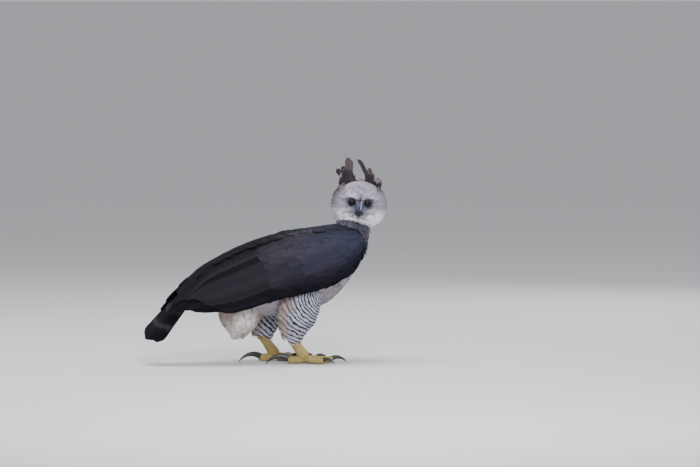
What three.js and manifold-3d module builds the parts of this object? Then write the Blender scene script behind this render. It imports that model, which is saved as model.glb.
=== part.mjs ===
// A female harpy eagle, life size, standing with its body leaning forward and its head turned right.
// Millimetres. +X is the way the body faces, +Y its left, +Z up, and the feet stand on Z 0.
// Every form is a surface read at a place (u, v), so a body, its feathers and the cuts between
// neighbours all come from the same few tables of stations.
import * as THREE from "three";
import Module from "manifold-3d";

const wasm = await Module();
wasm.setup();

const GAP = 0.4; // clearance between two nodes that touch
const DEGREE = Math.PI / 180;

// A vane's outline: where its stations lie from root to tip, how wide they are, and its columns. Its
// root end is sunk in the body, and it comes out by its second station.
const VANE_THICK = 0.9;
const FLIGHT = { along: [0, 0.12, 0.5, 0.9, 1], wide: [0.7, 0.8, 1, 0.85, 0.3], across: [-1, 1] };
const COVERT = { along: [0, 0.2, 0.82, 1], wide: [0.5, 0.8, 0.95, 0.35], across: [-1, 1] };
const TUFT = { along: [0, 0.22, 0.8, 1], wide: [0.6, 0.9, 0.9, 0.35], across: [-1, 0, 1] };
const PLUME = { along: [0, 0.25, 0.7, 1], wide: [0.4, 0.7, 1, 0.25], across: [-1, 1] };

// Stations of the torso from rump to breast: the top and bottom points of each section in the
// plane of symmetry, and its half width.
const TORSO = [
  // topX, topZ, bottomX, bottomZ, halfWidth
  [-300, 238, -292, 200, 20],
  [-258, 280, -266, 176, 50],
  [-190, 328, -198, 152, 78],
  [-112, 363, -112, 140, 90],
  [-35, 385, -20, 142, 98],
  [40, 397, 60, 160, 101],
  [102, 405, 118, 182, 99],
  [152, 410, 166, 230, 91],
  [190, 405, 202, 286, 76],
  [216, 388, 226, 340, 46],
];

// Stations of the neck from the shoulders up: centre, half size across and fore-and-aft.
const NECK = [
  [182, 0, 350, 58, 56],
  [190, -2, 385, 55, 53],
  [200, -5, 415, 52, 50],
  [209, -8, 440, 49, 47],
  [213, -10, 462, 44, 42],
];

// The head is built facing +x with its eyes level with its origin, then turned and set down here.
const HEAD = { x: 210, y: -25, z: 480, yaw: -105, pitch: 3, roll: -5 };
// Stations of the head from nape to face: place, top, bottom, half width.
const SKULL = [
  [-92, 6, -32, 16],
  [-84, 31, -58, 45],
  [-62, 51, -74, 66],
  [-35, 58, -80, 75],
  [-8, 56, -79, 77],
  [12, 47, -72, 69],
  [26, 33, -62, 55],
  [36, 16, -50, 38],
  [43, 0, -38, 20],
];
// Stations of the upper bill from the cere to the hook: top and bottom points, half width.
const UPPER_BILL = [
  [30, 4, 30, -24, 14],
  [42, 6, 42, -25, 14],
  [53, 5, 50, -25.5, 13],
  [64, 0.5, 57, -26, 11.5],
  [73, -7, 63, -27, 9.6],
  [78.5, -17, 68, -29, 7.2],
  [79.5, -27, 72, -32, 4.7],
  [78, -34.5, 74.5, -36, 2.3],
  [76.5, -39.5, 76, -39.5, 0.7],
];
const LOWER_BILL = [
  [30, -21, 30, -41, 13],
  [42, -22, 42, -41, 12.4],
  [51, -23, 51, -40, 11],
  [58, -24, 58, -38.5, 8.8],
  [64, -26, 64, -36.5, 6],
  [67.5, -30, 68, -34, 3],
];
// The crest fans out from a pad on the back of the crown: the pad's places on the head and its heights,
// then the fan's root and tip, half its spread, and how far the outer tips drop and stand back.
const PAD = { along: [0.3, 0.62], around: 0.11, high: 4, low: -4 };
const CREST = {
  rootX: -34,
  rootZ: 42,
  tipX: -66,
  tipZ: 136,
  rootHalf: 40,
  tipHalf: 70,
  drop: 44,
  back: 20,
};
const CREST_LEAN = [0.2, 0.5, 1]; // how much of its way forward a feather has gone, root to tip
// Each crest feather: the root's v, the tip's u and v, width, and how far forward of the sheet it goes.
const PLUMES = [
  [-0.95, 1.2, -1.06, 28, -8],
  [-0.88, 1.12, -0.67, 30, -6],
  [-0.1, 0.36, -0.1, 28, -4],
  [0.8, 1.0, -0.22, 20, -5],
  [0.52, 0.72, 0.43, 30, -8],
  [0.86, 0.6, 0.98, 28, -6],
  [-0.9, 0.56, -0.98, 28, 2],
  [-0.84, 0.64, -0.74, 34, 6],
  [-0.4, 0.36, -0.42, 28, 4],
  [0.24, 0.32, 0.24, 26, 4],
  [0.62, 0.43, 0.44, 30, 7],
  [0.98, 0.46, 1.12, 26, 2],
];
// Places on the head. The lids are a ring round each eye, whose look turns outward by some degrees.
const EYE = { x: 30, y: 23.2, z: 0, radius: 12.5, outward: 18, lid: 11.4, lidTube: 1.9, lidOut: 0.6 };
const NOSTRIL = { x: 50, y: 12.4, z: -7, long: 4.5, high: 2.4, deep: 3 };
// Stations of the bony ridge over the left eye and of the mouth's line: place on the head and girth.
const BROW = [
  [43, 9, 8, 4],
  [39, 20, 12.5, 5.5],
  [31, 33, 12.5, 6],
  [20, 44, 7, 4],
];
const GAPE = [
  [46, 12, -25, 1.6],
  [40, 21, -26.5, 1.6],
  [32, 34, -29, 1.4],
  [26, 43, -32, 0.9],
];

// Stations of the right wing's outer surface from the bend of the wing to its tip, mirrored for
// the left: top edge, bottom edge, and how far the middle bulges outward.
const WING = [
  // topX, topY, topZ, bottomX, bottomY, bottomZ, bulge
  [206, 36, 382, 222, 60, 350, 2],
  [198, 58, 392, 211, 98, 352, 8],
  [168, 60, 402, 198, 113, 325, 17],
  [112, 58, 401, 164, 122, 276, 30],
  [42, 56, 393, 94, 127, 234, 38],
  [-38, 54, 379, 4, 125, 204, 38],
  [-118, 50, 356, -96, 114, 178, 32],
  [-196, 42, 326, -190, 98, 154, 24],
  [-266, 34, 290, -272, 82, 154, 16],
  [-318, 36, 241, -318, 72, 158, 8],
  [-384, 50, 178, -378, 64, 112, 3],
];
// The wing's solid body under its feathers: how far it reaches, its depth in the middle and at the
// edges, how steeply it deepens, and how far below the feathers' sheet it lies.
const WING_CORE = { reach: 0.68, thick: 30, edge: 7, steep: 6, sunk: -2 };
const WING_ROLL = 0.1; // how far a feather's upper edge lifts over the next, for its width
const COVERT_ROWS = [
  // the tips' u, how far forward the root lies, how many
  [0.2, 0.11, 3],
  [0.32, 0.125, 4],
  [0.45, 0.135, 5],
  [0.59, 0.145, 5],
];
// A feather's lift is the height of its sunk root, of the place where it comes out and of its tip.
const COVERT_LIFT = [-4, 3, 5.5];
const COVERT_STAGGER = 0.2; // how far every other row stands off, in feathers
const COVERT_SPREAD = { root: 0.94, tip: 0.97, down: 0.02 }; // how they fill the wing's height
const OVERLAP = 1.25; // how much wider a covert is than its share of the row
// The long feathers: how many, the root and tip of the lowest, and the steps to the next above it.
const SECONDARIES = {
  count: 5,
  root: [0.56, 0.86],
  tip: [0.72, 0.98],
  rootStep: [0.002, -0.125],
  tipStep: [0.035, -0.105],
  width: 34,
  lift: [-4, 1.4, 2],
};
const TERTIALS = {
  count: 3,
  root: [0.57, 0.26],
  tip: [0.89, 0.45],
  rootStep: [0.002, -0.095],
  tipStep: [0.027, -0.155],
  width: 32,
  lift: [-4, 2.2, 4],
};
const PRIMARIES = {
  count: 4,
  root: [0.64, 0.9],
  tip: [0.87, 0.96],
  rootStep: [0.0, -0.15],
  tipStep: [0.044, -0.15],
  width: 34,
  lift: [-5, -5, -4.5],
};

// The tail's flat fan starts inside the rump, slopes down and is rolled to the right.
const TAIL = {
  x: -221,
  z: 338,
  slope: 50,
  roll: 18,
  length: 350,
  rootHalf: 28,
  tipHalf: 64,
};
const TAIL_CORE = { along: [0.16, 0.38], across: [-0.9, 0.9], high: 1, low: -17 };
// The long tail feathers: each outer pair is a little shorter and lies under the last.
const RECTRICES = {
  pairs: 6,
  width: 58,
  root: 0.32,
  rootSpread: 0.45,
  tipSpread: 0.72,
  shorter: 0.012,
  under: 1.3,
};
// The short feathers that cover their roots, with their lifts above and below the tail.
const TAIL_COVERTS = {
  across: [-0.62, 0, 0.62],
  width: 34,
  root: 0.2,
  tip: 0.46,
  sideTips: 0.1, // how much shorter the side ones are, for their place across
  above: [-3, 3, 5],
  below: [-13, -20, -22],
  middle: 1.8, // how much further out the middle one lies
};

// The mantle's rows of feathers over the back: the tips' places along the torso, their length and how
// far round to the side ones.
const MANTLE = {
  rows: [0.6, 0.46, 0.32, 0.18],
  length: 0.145,
  across: 0.06,
  lift: [-4, 3, 6],
  middle: 1.5, // how much higher the feathers down the middle lie
};
// The ruff round the face, down each cheek from the temple to beside the chin.
const RUFF = {
  count: 6,
  from: 0.14,
  to: 0.39,
  root: 0.7,
  tip: 0.44,
  width: 28,
  lift: [-3, 3, 11],
  roll: 0.1,
};
// The trousers' tiers: place of the roots and tips down the thigh, how many feathers, and how wide.
const TROUSERS = [
  [0.4, 0.69, 6, 46],
  [0.68, 1.03, 6, 36],
];
const TROUSER_LIFT = [-4, 3, 5.5];
const TROUSER_ROLL = 0.06;
// How much the lengths of one kind of feather vary.
const UNEVEN = { ruff: 0.06, mantle: 0.03, long: 0.008, covert: 0.03, trouser: 0.03 };

// How far forward each leg stands, then the stations of the left one: feathered thigh, then bare tarsus.
const LEGS = {
  right: 0,
  left: -58,
};
const THIGH = [
  // x, y, z, half size across, half size fore and aft
  [30, 58, 262, 28, 44],
  [24, 68, 226, 41, 59],
  [12, 72, 185, 43, 63],
  [2, 71, 145, 39, 60],
  [-6, 68, 112, 30, 48],
  [-10, 66, 84, 19, 31],
];
const TARSUS = [
  // as the thigh's
  [-26, 64, 112, 15, 17],
  [-22, 64, 98, 15, 17],
  [-8, 64, 72, 13, 14.5],
  [8, 65, 48, 13.5, 14.5],
  [22, 66, 28, 17, 17],
  [28, 66, 19, 17, 16],
];
const FOOT = { x: 28, y: 66 }; // where the toes meet
// Toes by name: heading from straight ahead towards the bird's middle, length, girth, claw and its girth.
const TOES = {
  middle: { heading: -4, length: 84, radius: 11.5, claw: 56, clawRadius: 8.2 },
  inner: { heading: 38, length: 62, radius: 12, claw: 68, clawRadius: 9 },
  outer: { heading: -46, length: 68, radius: 10.5, claw: 48, clawRadius: 7.4 },
  hallux: { heading: 172, length: 50, radius: 12.5, claw: 84, clawRadius: 10 },
};
// A toe's stations: how far along, then height and girth for the toe's own girth. Its joints swell.
const TOE = [
  [0, 1.4, 1],
  [0.25, 1.08, 1.05],
  [0.5, 0.92, 0.96],
  [0.75, 0.9, 0.98],
  [1, 1.02, 0.78],
];
const TOE_ROUND = 0.95; // a toe's height for its width
const SCUTE = 0.9; // how far the scutes stand out on the tarsi and toes
// A claw's first climb and how far it curls over in degrees, how deep it is set in the toe and how high
// for the toe's girth, how slim and how blunt it is, and how it narrows.
const CLAW = { rise: 34, turn: 92, set: 5, high: 1.05, slim: 0.85, tip: 0.7, taper: 0.75, steps: 6 };

// How many rings and sides each body's mesh has.
const FACETS = {
  torso: [12, 20],
  neck: [6, 16],
  skull: [12, 24],
  upperBill: [12, 10],
  lowerBill: [6, 10],
  gape: [4, 5],
  brow: [5, 6],
  thigh: [8, 14],
  tarsus: [10, 10],
  toe: [8, 6],
  claw: [5, 6],
  pad: [3, 6],
  wingCore: [7, 5],
  tailCore: [3, 4],
  lid: [14, 4],
  eye: 12,
  nostril: 8,
};

const COLOURS = {
  slate: { color: 0x24242c, roughness: 0.7 },
  back: { color: 0x2a2a31, roughness: 0.75 },
  neck: { color: 0x2c2b30, roughness: 0.8 },
  face: { color: 0xa7a1a4, roughness: 0.9 },
  crest: { color: 0x4a4148, roughness: 0.8 },
  barred: { color: 0xb9b3ae, roughness: 0.9 },
  bill: { color: 0x2b2e36, roughness: 0.35 },
  eye: { color: 0x2a2220, roughness: 0.1 },
  foot: { color: 0xb79a3c, roughness: 0.6 },
  claw: { color: 0x1c1b1d, roughness: 0.35 },
};

// Curves and surfaces.

const LOOK_AHEAD = 0.01; // how far along a centre line its direction is taken
const WING_SWELL_LIFT = 0.3; // how much of the wing's outward bulge is also upward

// A table of stations read at t from 0 to 1, smoothly between its rows and straight on past its ends.
function rowAt(rows, t) {
  const last = rows.length - 1;
  const inside = Math.min(Math.max(t, 0), 1);
  const i = Math.min(Math.floor(inside * last), last - 1);
  const f = inside * last - i;
  const row = (k) => rows[Math.min(Math.max(k, 0), last)];
  const beyond = (t - inside) * last;
  return rows[0].map((_, k) => {
    const [p, a, b, q] = [row(i - 1)[k], row(i)[k], row(i + 1)[k], row(i + 2)[k]];
    const curve = a + 0.5 * f * (b - p + f * (2 * p - 5 * a + 4 * b - q + f * (3 * (a - b) + q - p)));
    return curve + beyond * (b - a);
  });
}

// A body whose sections hang between top and bottom points: v turns from the top towards the left.
function hangingBody(rows, place = (point) => point) {
  const at = (u, v) => {
    const [topX, topZ, bottomX, bottomZ, half] = rowAt(rows, u);
    const up = Math.cos(2 * Math.PI * v) / 2;
    const x = (topX + bottomX) / 2 + (topX - bottomX) * up;
    const z = (topZ + bottomZ) / 2 + (topZ - bottomZ) * up;
    return place(new THREE.Vector3(x, half * Math.sin(2 * Math.PI * v), z));
  };
  return { at, facing: 1 };
}

// A body along a centre line, with half sizes across and upright to it. mirror is 1 for the left.
function tube(rows, mirror = 1, place = (point) => point) {
  const at = (u, v) => {
    const [x, y, z, across, upright = across] = rowAt(rows, u);
    const centre = (t) => new THREE.Vector3(...rowAt(rows, t).slice(0, 3));
    const ahead = centre(u + LOOK_AHEAD).sub(centre(u - LOOK_AHEAD));
    const side = new THREE.Vector3(0, 1, 0);
    const out = ahead.clone().cross(side).normalize();
    side.crossVectors(out, ahead).normalize();
    const point = new THREE.Vector3(x, y, z)
      .addScaledVector(out, upright * Math.cos(2 * Math.PI * v))
      .addScaledVector(side, across * Math.sin(2 * Math.PI * v));
    point.y *= mirror;
    return place(point);
  };
  return { at, facing: mirror };
}

// The right wing's outer surface, or the left's: u runs from the bend to the tip, v from top to bottom.
function wingSurface(mirror) {
  const at = (u, v) => {
    const [topX, topY, topZ, bottomX, bottomY, bottomZ, bulge] = rowAt(WING, u);
    const swell = bulge * 4 * v * (1 - v);
    const y = topY + (bottomY - topY) * v + swell;
    return new THREE.Vector3(
      topX + (bottomX - topX) * v,
      mirror * y,
      topZ + (bottomZ - topZ) * v + WING_SWELL_LIFT * swell,
    );
  };
  return { at, facing: -mirror };
}

// The tail's flat sheet: u runs from its root to its tip, v from the right edge, -1, to the left, 1.
const tailSurface = {
  at: (u, v) => {
    const half = TAIL.rootHalf + (TAIL.tipHalf - TAIL.rootHalf) * u;
    const [rollC, rollS] = [Math.cos(TAIL.roll * DEGREE), Math.sin(TAIL.roll * DEGREE)];
    const [c, s] = [Math.cos(TAIL.slope * DEGREE), Math.sin(TAIL.slope * DEGREE)];
    const height = half * v * rollS;
    const along = TAIL.length * u;
    return new THREE.Vector3(
      TAIL.x - along * c - height * s,
      half * v * rollC,
      TAIL.z - along * s + height * c,
    );
  },
  facing: -1,
};

// A surface's point and outward normal at a place, and its two tangents.
function frameAt(surface, u, v) {
  const step = 1e-3;
  const tangentU = surface.at(u + step, v).sub(surface.at(u - step, v)).divideScalar(2 * step);
  const tangentV = surface.at(u, v + step).sub(surface.at(u, v - step)).divideScalar(2 * step);
  const normal = tangentU.clone().cross(tangentV).normalize().multiplyScalar(surface.facing);
  return { point: surface.at(u, v), tangentU, tangentV, normal };
}

// How far u and v go for one millimetre sideways from a heading given in u and v.
function sidewaysStep({ tangentU, tangentV, normal }, [headU, headV]) {
  const heading = tangentU.clone().multiplyScalar(headU).addScaledVector(tangentV, headV);
  const side = normal.clone().cross(heading).normalize();
  const [uu, uv, vv] = [tangentU.dot(tangentU), tangentU.dot(tangentV), tangentV.dot(tangentV)];
  const [su, sv] = [side.dot(tangentU), side.dot(tangentV)];
  const det = uu * vv - uv * uv;
  return [(su * vv - sv * uv) / det, (sv * uu - su * uv) / det];
}

// A list made by a rule for each number, and a variation about 1 that differs from number to number.
const series = (count, rule) => Array.from({ length: count }, (_, i) => rule(i));
const vary = (i, amount) => 1 + amount * Math.sin(12.9898 * (i + 1));

// Solids.

// A solid from points and faces, turned right side out.
function solidFrom(points, faces) {
  const make = (triangles) =>
    new wasm.Manifold(
      new wasm.Mesh({
        numProp: 3,
        vertProperties: new Float32Array(points.flatMap((p) => [p.x, p.y, p.z])),
        triVerts: new Uint32Array(triangles),
      }),
    );
  const solid = make(faces);
  if (solid.volume() > 0) return solid;
  const turned = [];
  for (let i = 0; i < faces.length; i += 3) turned.push(faces[i], faces[i + 2], faces[i + 1]);
  return make(turned);
}

// A closed body over a surface whose v goes all the way round, grown outward by some millimetres.
// Every second ring stands out by the height of the scutes, if any.
function closedBody(surface, rings, sides, grow = 0, scute = 0, change = (point) => point) {
  const rows = [];
  for (let i = 0; i <= rings; i++) {
    const row = [];
    for (let k = 0; k < sides; k++) {
      const { point, normal } = frameAt(surface, i / rings, k / sides);
      row.push(point.addScaledVector(normal, grow + scute * (i % 2)));
    }
    rows.push(row);
  }
  const middle = (row) =>
    row.reduce((sum, p) => sum.add(p), new THREE.Vector3()).divideScalar(row.length);
  const ends = [
    [rows[0], rows[1]],
    [rows[rings], rows[rings - 1]],
  ].map(([end, next]) => {
    const out = middle(end).sub(middle(next)).setLength(grow);
    end.forEach((p) => p.add(out));
    return middle(end);
  });
  const points = [...rows.flat(), ...ends].map(change);
  const faces = [];
  for (let k = 0; k < sides; k++) {
    const next = (k + 1) % sides;
    for (let i = 0; i < rings; i++) {
      const [a, b] = [i * sides + k, i * sides + next];
      faces.push(a, b, b + sides, a, b + sides, a + sides);
    }
    faces.push(rows.length * sides, next, k);
    faces.push(rows.length * sides + 1, rings * sides + k, rings * sides + next);
  }
  return solidFrom(points, faces);
}

// A plate between two grids of points, split into triangles alike on both faces.
function plate(top, under) {
  const [rows, columns] = [top.length, top[0].length];
  const points = [...top.flat(), ...under.flat()];
  const below = rows * columns;
  const faces = [];
  for (let i = 0; i + 1 < rows; i++)
    for (let k = 0; k + 1 < columns; k++) {
      const a = i * columns + k;
      const [b, c, d] = [a + 1, a + columns, a + columns + 1];
      faces.push(a, b, d, a, d, c);
      faces.push(below + a, below + d, below + b, below + a, below + c, below + d);
    }
  const rim = [];
  for (let k = 0; k < columns; k++) rim.push(k);
  for (let i = 1; i < rows; i++) rim.push(i * columns + columns - 1);
  for (let k = columns - 2; k >= 0; k--) rim.push((rows - 1) * columns + k);
  for (let i = rows - 2; i > 0; i--) rim.push(i * columns);
  rim.forEach((a, i) => {
    const b = rim[(i + 1) % rim.length];
    faces.push(b, a, below + a, b, below + a, below + b);
  });
  return solidFrom(points, faces);
}

// A plate on a patch of a surface between two heights over it, which can vary across the patch.
function patch(surface, { u, v, high, low }, rows, columns, grow) {
  const grid = (height, extra) =>
    series(rows + 1, (i) =>
      series(columns + 1, (k) => {
        const across = k / columns;
        const { point, normal } = frameAt(
          surface,
          THREE.MathUtils.lerp(...u, i / rows),
          THREE.MathUtils.lerp(...v, across),
        );
        return point.addScaledVector(normal, height(across) + extra);
      }),
    );
  return plate(grid(high, grow), grid(low, -grow));
}

// A feather's vane laid along a surface from its root to its tip, both places (u, v). Its heights are
// those of its sunk root, of the place where it comes out and of its tip. It rolls, so that one edge
// passes under its neighbour's.
function vane(surface, outline, { root, tip, width, lift, roll }, grow) {
  const heading = [tip[0] - root[0], tip[1] - root[1]];
  const length = surface.at(...root).distanceTo(surface.at(...tip));
  const [sunk, out, high] = lift;
  const from = outline.along[1];
  const [top, under] = [[], []];
  outline.along.forEach((t, i) => {
    const reach = t === 1 ? 1 + grow / length : t;
    const [u, v] = [root[0] + heading[0] * reach, root[1] + heading[1] * reach];
    const [stepU, stepV] = sidewaysStep(frameAt(surface, u, v), heading);
    const half = (width / 2) * outline.wide[i] + grow;
    const height = i === 0 ? sunk : out + ((high - out) * (t - from)) / (1 - from);
    const places = outline.across.map((side) => {
      const { point, normal } = frameAt(surface, u + side * half * stepU, v + side * half * stepV);
      return [point, normal, height + side * half * roll * surface.facing];
    });
    const line = (over) => places.map(([p, n, over0]) => p.clone().addScaledVector(n, over0 + over));
    top.push(line(VANE_THICK / 2 + grow));
    under.push(line(-VANE_THICK / 2 - grow));
  });
  return plate(top, under);
}

const coat = (surface, outline, feathers, grow) =>
  feathers.map((feather) => vane(surface, outline, feather, grow));

// A rounded solid at a place, for eyes and small cuts. Its poles are small flats.
function ball(centre, [rx, ry, rz], sides) {
  const rings = sides / 2;
  const pole = 0.02;
  const surface = {
    at: (u, v) => {
      const a = Math.PI * THREE.MathUtils.lerp(pole, 1 - pole, u);
      const [c, s] = [Math.cos(2 * Math.PI * v), Math.sin(2 * Math.PI * v)];
      return new THREE.Vector3(-rx * Math.cos(a), ry * Math.sin(a) * s, rz * Math.sin(a) * c).add(centre);
    },
    facing: 1,
  };
  return closedBody(surface, rings, sides);
}

const join = (solids) => wasm.Manifold.union(solids);

// A solid less some cutters, and only its largest piece.
function trimmed(solid, ...cutters) {
  const left = cutters.length ? solid.subtract(join(cutters)) : solid;
  return left.decompose().sort((a, b) => b.volume() - a.volume())[0];
}

// A named mesh of a solid in one of the colours.
function nodeOf(name, solid, colour) {
  const { vertProperties, triVerts } = solid.getMesh();
  const geometry = new THREE.BufferGeometry();
  geometry.setAttribute("position", new THREE.BufferAttribute(vertProperties, 3));
  geometry.setIndex(new THREE.BufferAttribute(triVerts, 1));
  const mesh = new THREE.Mesh(geometry, new THREE.MeshStandardMaterial(COLOURS[colour]));
  mesh.name = name;
  return mesh;
}

// Head.

const headMatrix = new THREE.Matrix4()
  .makeTranslation(HEAD.x, HEAD.y, HEAD.z)
  .multiply(new THREE.Matrix4().makeRotationZ(HEAD.yaw * DEGREE))
  .multiply(new THREE.Matrix4().makeRotationY(HEAD.pitch * DEGREE))
  .multiply(new THREE.Matrix4().makeRotationX(HEAD.roll * DEGREE));
const onHead = (point) => point.applyMatrix4(headMatrix);

const skullRows = SKULL.map(([x, top, bottom, half]) => [x, top, x, bottom, half]);
const skullSurface = hangingBody(skullRows, onHead);

// A tube whose rows are given on the head, on its left for side 1 and its right for side -1.
const headTube = (rows, side) => tube(rows, side, onHead);

function eyeBall(side, grow) {
  const centre = new THREE.Vector3(EYE.x, side * EYE.y, EYE.z);
  const size = EYE.radius + grow;
  return ball(centre, [size, size, size], FACETS.eye).transform(headMatrix.toArray());
}

// The ring of lids round an eye, open along the way the eye looks.
function lidRing(side) {
  const out = side * EYE.outward * DEGREE;
  const look = new THREE.Vector3(Math.cos(out), Math.sin(out), 0);
  const across = new THREE.Vector3(-Math.sin(out), Math.cos(out), 0);
  const ahead = Math.sqrt(EYE.radius ** 2 - EYE.lid ** 2) + EYE.lidOut;
  const centre = new THREE.Vector3(EYE.x, side * EYE.y, EYE.z).addScaledVector(look, ahead);
  const [ringSides, tubeSides] = FACETS.lid;
  const points = [];
  const faces = [];
  for (let i = 0; i < ringSides; i++) {
    const a = (2 * Math.PI * i) / ringSides;
    const radial = across.clone().multiplyScalar(Math.cos(a)).add(new THREE.Vector3(0, 0, Math.sin(a)));
    for (let k = 0; k < tubeSides; k++) {
      const b = (2 * Math.PI * k) / tubeSides;
      const point = centre.clone().addScaledVector(radial, EYE.lid + EYE.lidTube * Math.cos(b));
      points.push(onHead(point.addScaledVector(look, EYE.lidTube * Math.sin(b))));
      const [ring, nextRing] = [i * tubeSides, ((i + 1) % ringSides) * tubeSides];
      const nextK = (k + 1) % tubeSides;
      faces.push(ring + k, ring + nextK, nextRing + nextK, ring + k, nextRing + nextK, nextRing + k);
    }
  }
  return solidFrom(points, faces);
}

// The crest's sheet: u runs from its root to its tip, v from the right edge, -1, to the left, 1.
const crestSurface = {
  at: (u, v) => {
    const half = CREST.rootHalf + (CREST.tipHalf - CREST.rootHalf) * u;
    const drop = CREST.drop * u * v * v;
    const x = CREST.rootX + (CREST.tipX - CREST.rootX) * u - CREST.back * v * v;
    return onHead(new THREE.Vector3(x, half * v, CREST.rootZ + (CREST.tipZ - CREST.rootZ) * u - drop));
  },
  facing: -1,
};
const crestFeathers = PLUMES.map(([rootV, tipU, tipV, width, forward]) => ({
  root: [0, rootV],
  tip: [tipU, tipV],
  width,
  lift: CREST_LEAN.map((share) => forward * share),
  roll: 0,
}));
const pad = {
  u: PAD.along,
  v: [-PAD.around, PAD.around],
  high: () => PAD.high,
  low: () => PAD.low,
};
const crestPieces = (grow) => [
  patch(skullSurface, pad, ...FACETS.pad, grow),
  ...coat(crestSurface, PLUME, crestFeathers, grow),
];

const ruffFeathers = [1, -1].flatMap((side) =>
  series(RUFF.count, (i) => {
    const around = side * (RUFF.from + ((RUFF.to - RUFF.from) * i) / (RUFF.count - 1));
    return {
      root: [RUFF.root, around],
      tip: [RUFF.tip * vary(i, UNEVEN.ruff), around],
      width: RUFF.width,
      lift: RUFF.lift,
      roll: RUFF.roll * side,
    };
  }),
);
const ruff = (grow) => coat(skullSurface, COVERT, ruffFeathers, grow);

const upperBillSurface = hangingBody(UPPER_BILL, onHead);
const lowerBillSurface = hangingBody(LOWER_BILL, onHead);
const upperBill = (grow) => closedBody(upperBillSurface, ...FACETS.upperBill, grow);
const lowerBill = (grow) => closedBody(lowerBillSurface, ...FACETS.lowerBill, grow);

function nostril(side) {
  const centre = new THREE.Vector3(NOSTRIL.x, side * NOSTRIL.y, NOSTRIL.z);
  const solid = ball(centre, [NOSTRIL.long, NOSTRIL.deep, NOSTRIL.high], FACETS.nostril);
  return solid.transform(headMatrix.toArray());
}

// Legs.

const legRows = (rows, forward) => rows.map(([x, ...rest]) => [x + forward, ...rest]);

// A toe's centre line runs out from the foot at its heading, and its sole is flat on the floor.
function toeRows({ heading, length, radius }, forward) {
  const [dx, dy] = [Math.cos(heading * DEGREE), -Math.sin(heading * DEGREE)];
  return TOE.map(([share, height, girth]) => [
    FOOT.x + forward + dx * length * share,
    FOOT.y + dy * length * share,
    radius * height,
    radius * girth,
    radius * girth * TOE_ROUND,
  ]);
}

// A claw's centre line climbs out of the toe's end and curls down to the floor.
function clawRows({ heading, length, radius, claw, clawRadius }, forward) {
  const [dx, dy] = [Math.cos(heading * DEGREE), -Math.sin(heading * DEGREE)];
  const bend = claw / (CLAW.turn * DEGREE);
  const start = CLAW.rise * DEGREE;
  return series(CLAW.steps + 1, (i) => {
    const a = start - (CLAW.turn * DEGREE * i) / CLAW.steps;
    const reach = length - CLAW.set + bend * (Math.sin(start) - Math.sin(a));
    const height = radius * CLAW.high + bend * (Math.cos(a) - Math.cos(start));
    const girth = Math.max(clawRadius * Math.pow(1 - i / CLAW.steps, CLAW.taper), CLAW.tip);
    return [
      FOOT.x + forward + dx * reach,
      FOOT.y + dy * reach,
      Math.max(height, girth),
      girth * CLAW.slim,
      girth,
    ];
  });
}

const ontoFloor = (point) => {
  point.z = Math.max(point.z, 0);
  return point;
};

// The bird.

const torsoSurface = hangingBody(TORSO);
const neckSurface = tube(NECK);
const torsoSolid = (grow) => closedBody(torsoSurface, ...FACETS.torso, grow);
const neckSolid = (grow) => closedBody(neckSurface, ...FACETS.neck, grow);
const skullSolid = (grow) => closedBody(skullSurface, ...FACETS.skull, grow);

const mantleFeathers = MANTLE.rows.flatMap((tip, row) => {
  const share = torsoSurface.at(tip, 0).distanceTo(torsoSurface.at(tip, MANTLE.across));
  return [-1, 0, 1].map((side) => ({
    root: [tip + MANTLE.length, side * MANTLE.across],
    tip: [tip * vary(row * 3 + side, UNEVEN.mantle), side * MANTLE.across],
    width: OVERLAP * share,
    lift: MANTLE.lift.map((height) => height + (side === 0 ? MANTLE.middle : 0)),
    roll: 0,
  }));
});
const torsoPieces = (grow) => [torsoSolid(grow), ...coat(torsoSurface, COVERT, mantleFeathers, grow)];
const headPieces = (grow) => [skullSolid(grow), ...ruff(grow)];

// The wing's solid body: thin at its edges and deep in its middle, where it meets the torso.
function wingCore(surface, grow) {
  const core = {
    u: [0, WING_CORE.reach],
    v: [0, 1],
    high: () => WING_CORE.sunk,
    low: (across) => {
      const inward = Math.min(WING_CORE.steep * Math.min(across, 1 - across), 1);
      return -WING_CORE.edge - (WING_CORE.thick - WING_CORE.edge) * inward;
    },
  };
  return patch(surface, core, ...FACETS.wingCore, grow);
}

// A row of a wing's long feathers, each a step on from the one before.
const wingRow = ({ count, root, tip, rootStep, tipStep, width, lift }) =>
  series(count, (i) => ({
    root: [root[0] + rootStep[0] * i, root[1] + rootStep[1] * i],
    tip: [(tip[0] + tipStep[0] * i) * vary(i, UNEVEN.long), tip[1] + tipStep[1] * i],
    width,
    lift,
    roll: WING_ROLL,
  }));
const wingCoverts = COVERT_ROWS.flatMap(([tipU, forward, count], row) => {
  const surface = wingSurface(1);
  const share = surface.at(tipU, 0).distanceTo(surface.at(tipU, 1)) / count;
  return series(count, (i) => {
    const v = (i + 0.5 + COVERT_STAGGER * (row % 2)) / count;
    return {
      root: [tipU - forward, v * COVERT_SPREAD.root],
      tip: [tipU * vary(i + 5 * row, UNEVEN.covert), v * COVERT_SPREAD.tip + COVERT_SPREAD.down],
      width: OVERLAP * share,
      lift: COVERT_LIFT,
      roll: WING_ROLL,
    };
  });
});
function wingPieces(mirror, grow) {
  const surface = wingSurface(mirror);
  const long = [SECONDARIES, TERTIALS, PRIMARIES].flatMap(wingRow);
  return [
    wingCore(surface, grow),
    ...coat(surface, FLIGHT, long, grow),
    ...coat(surface, COVERT, wingCoverts, grow),
  ];
}

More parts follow.
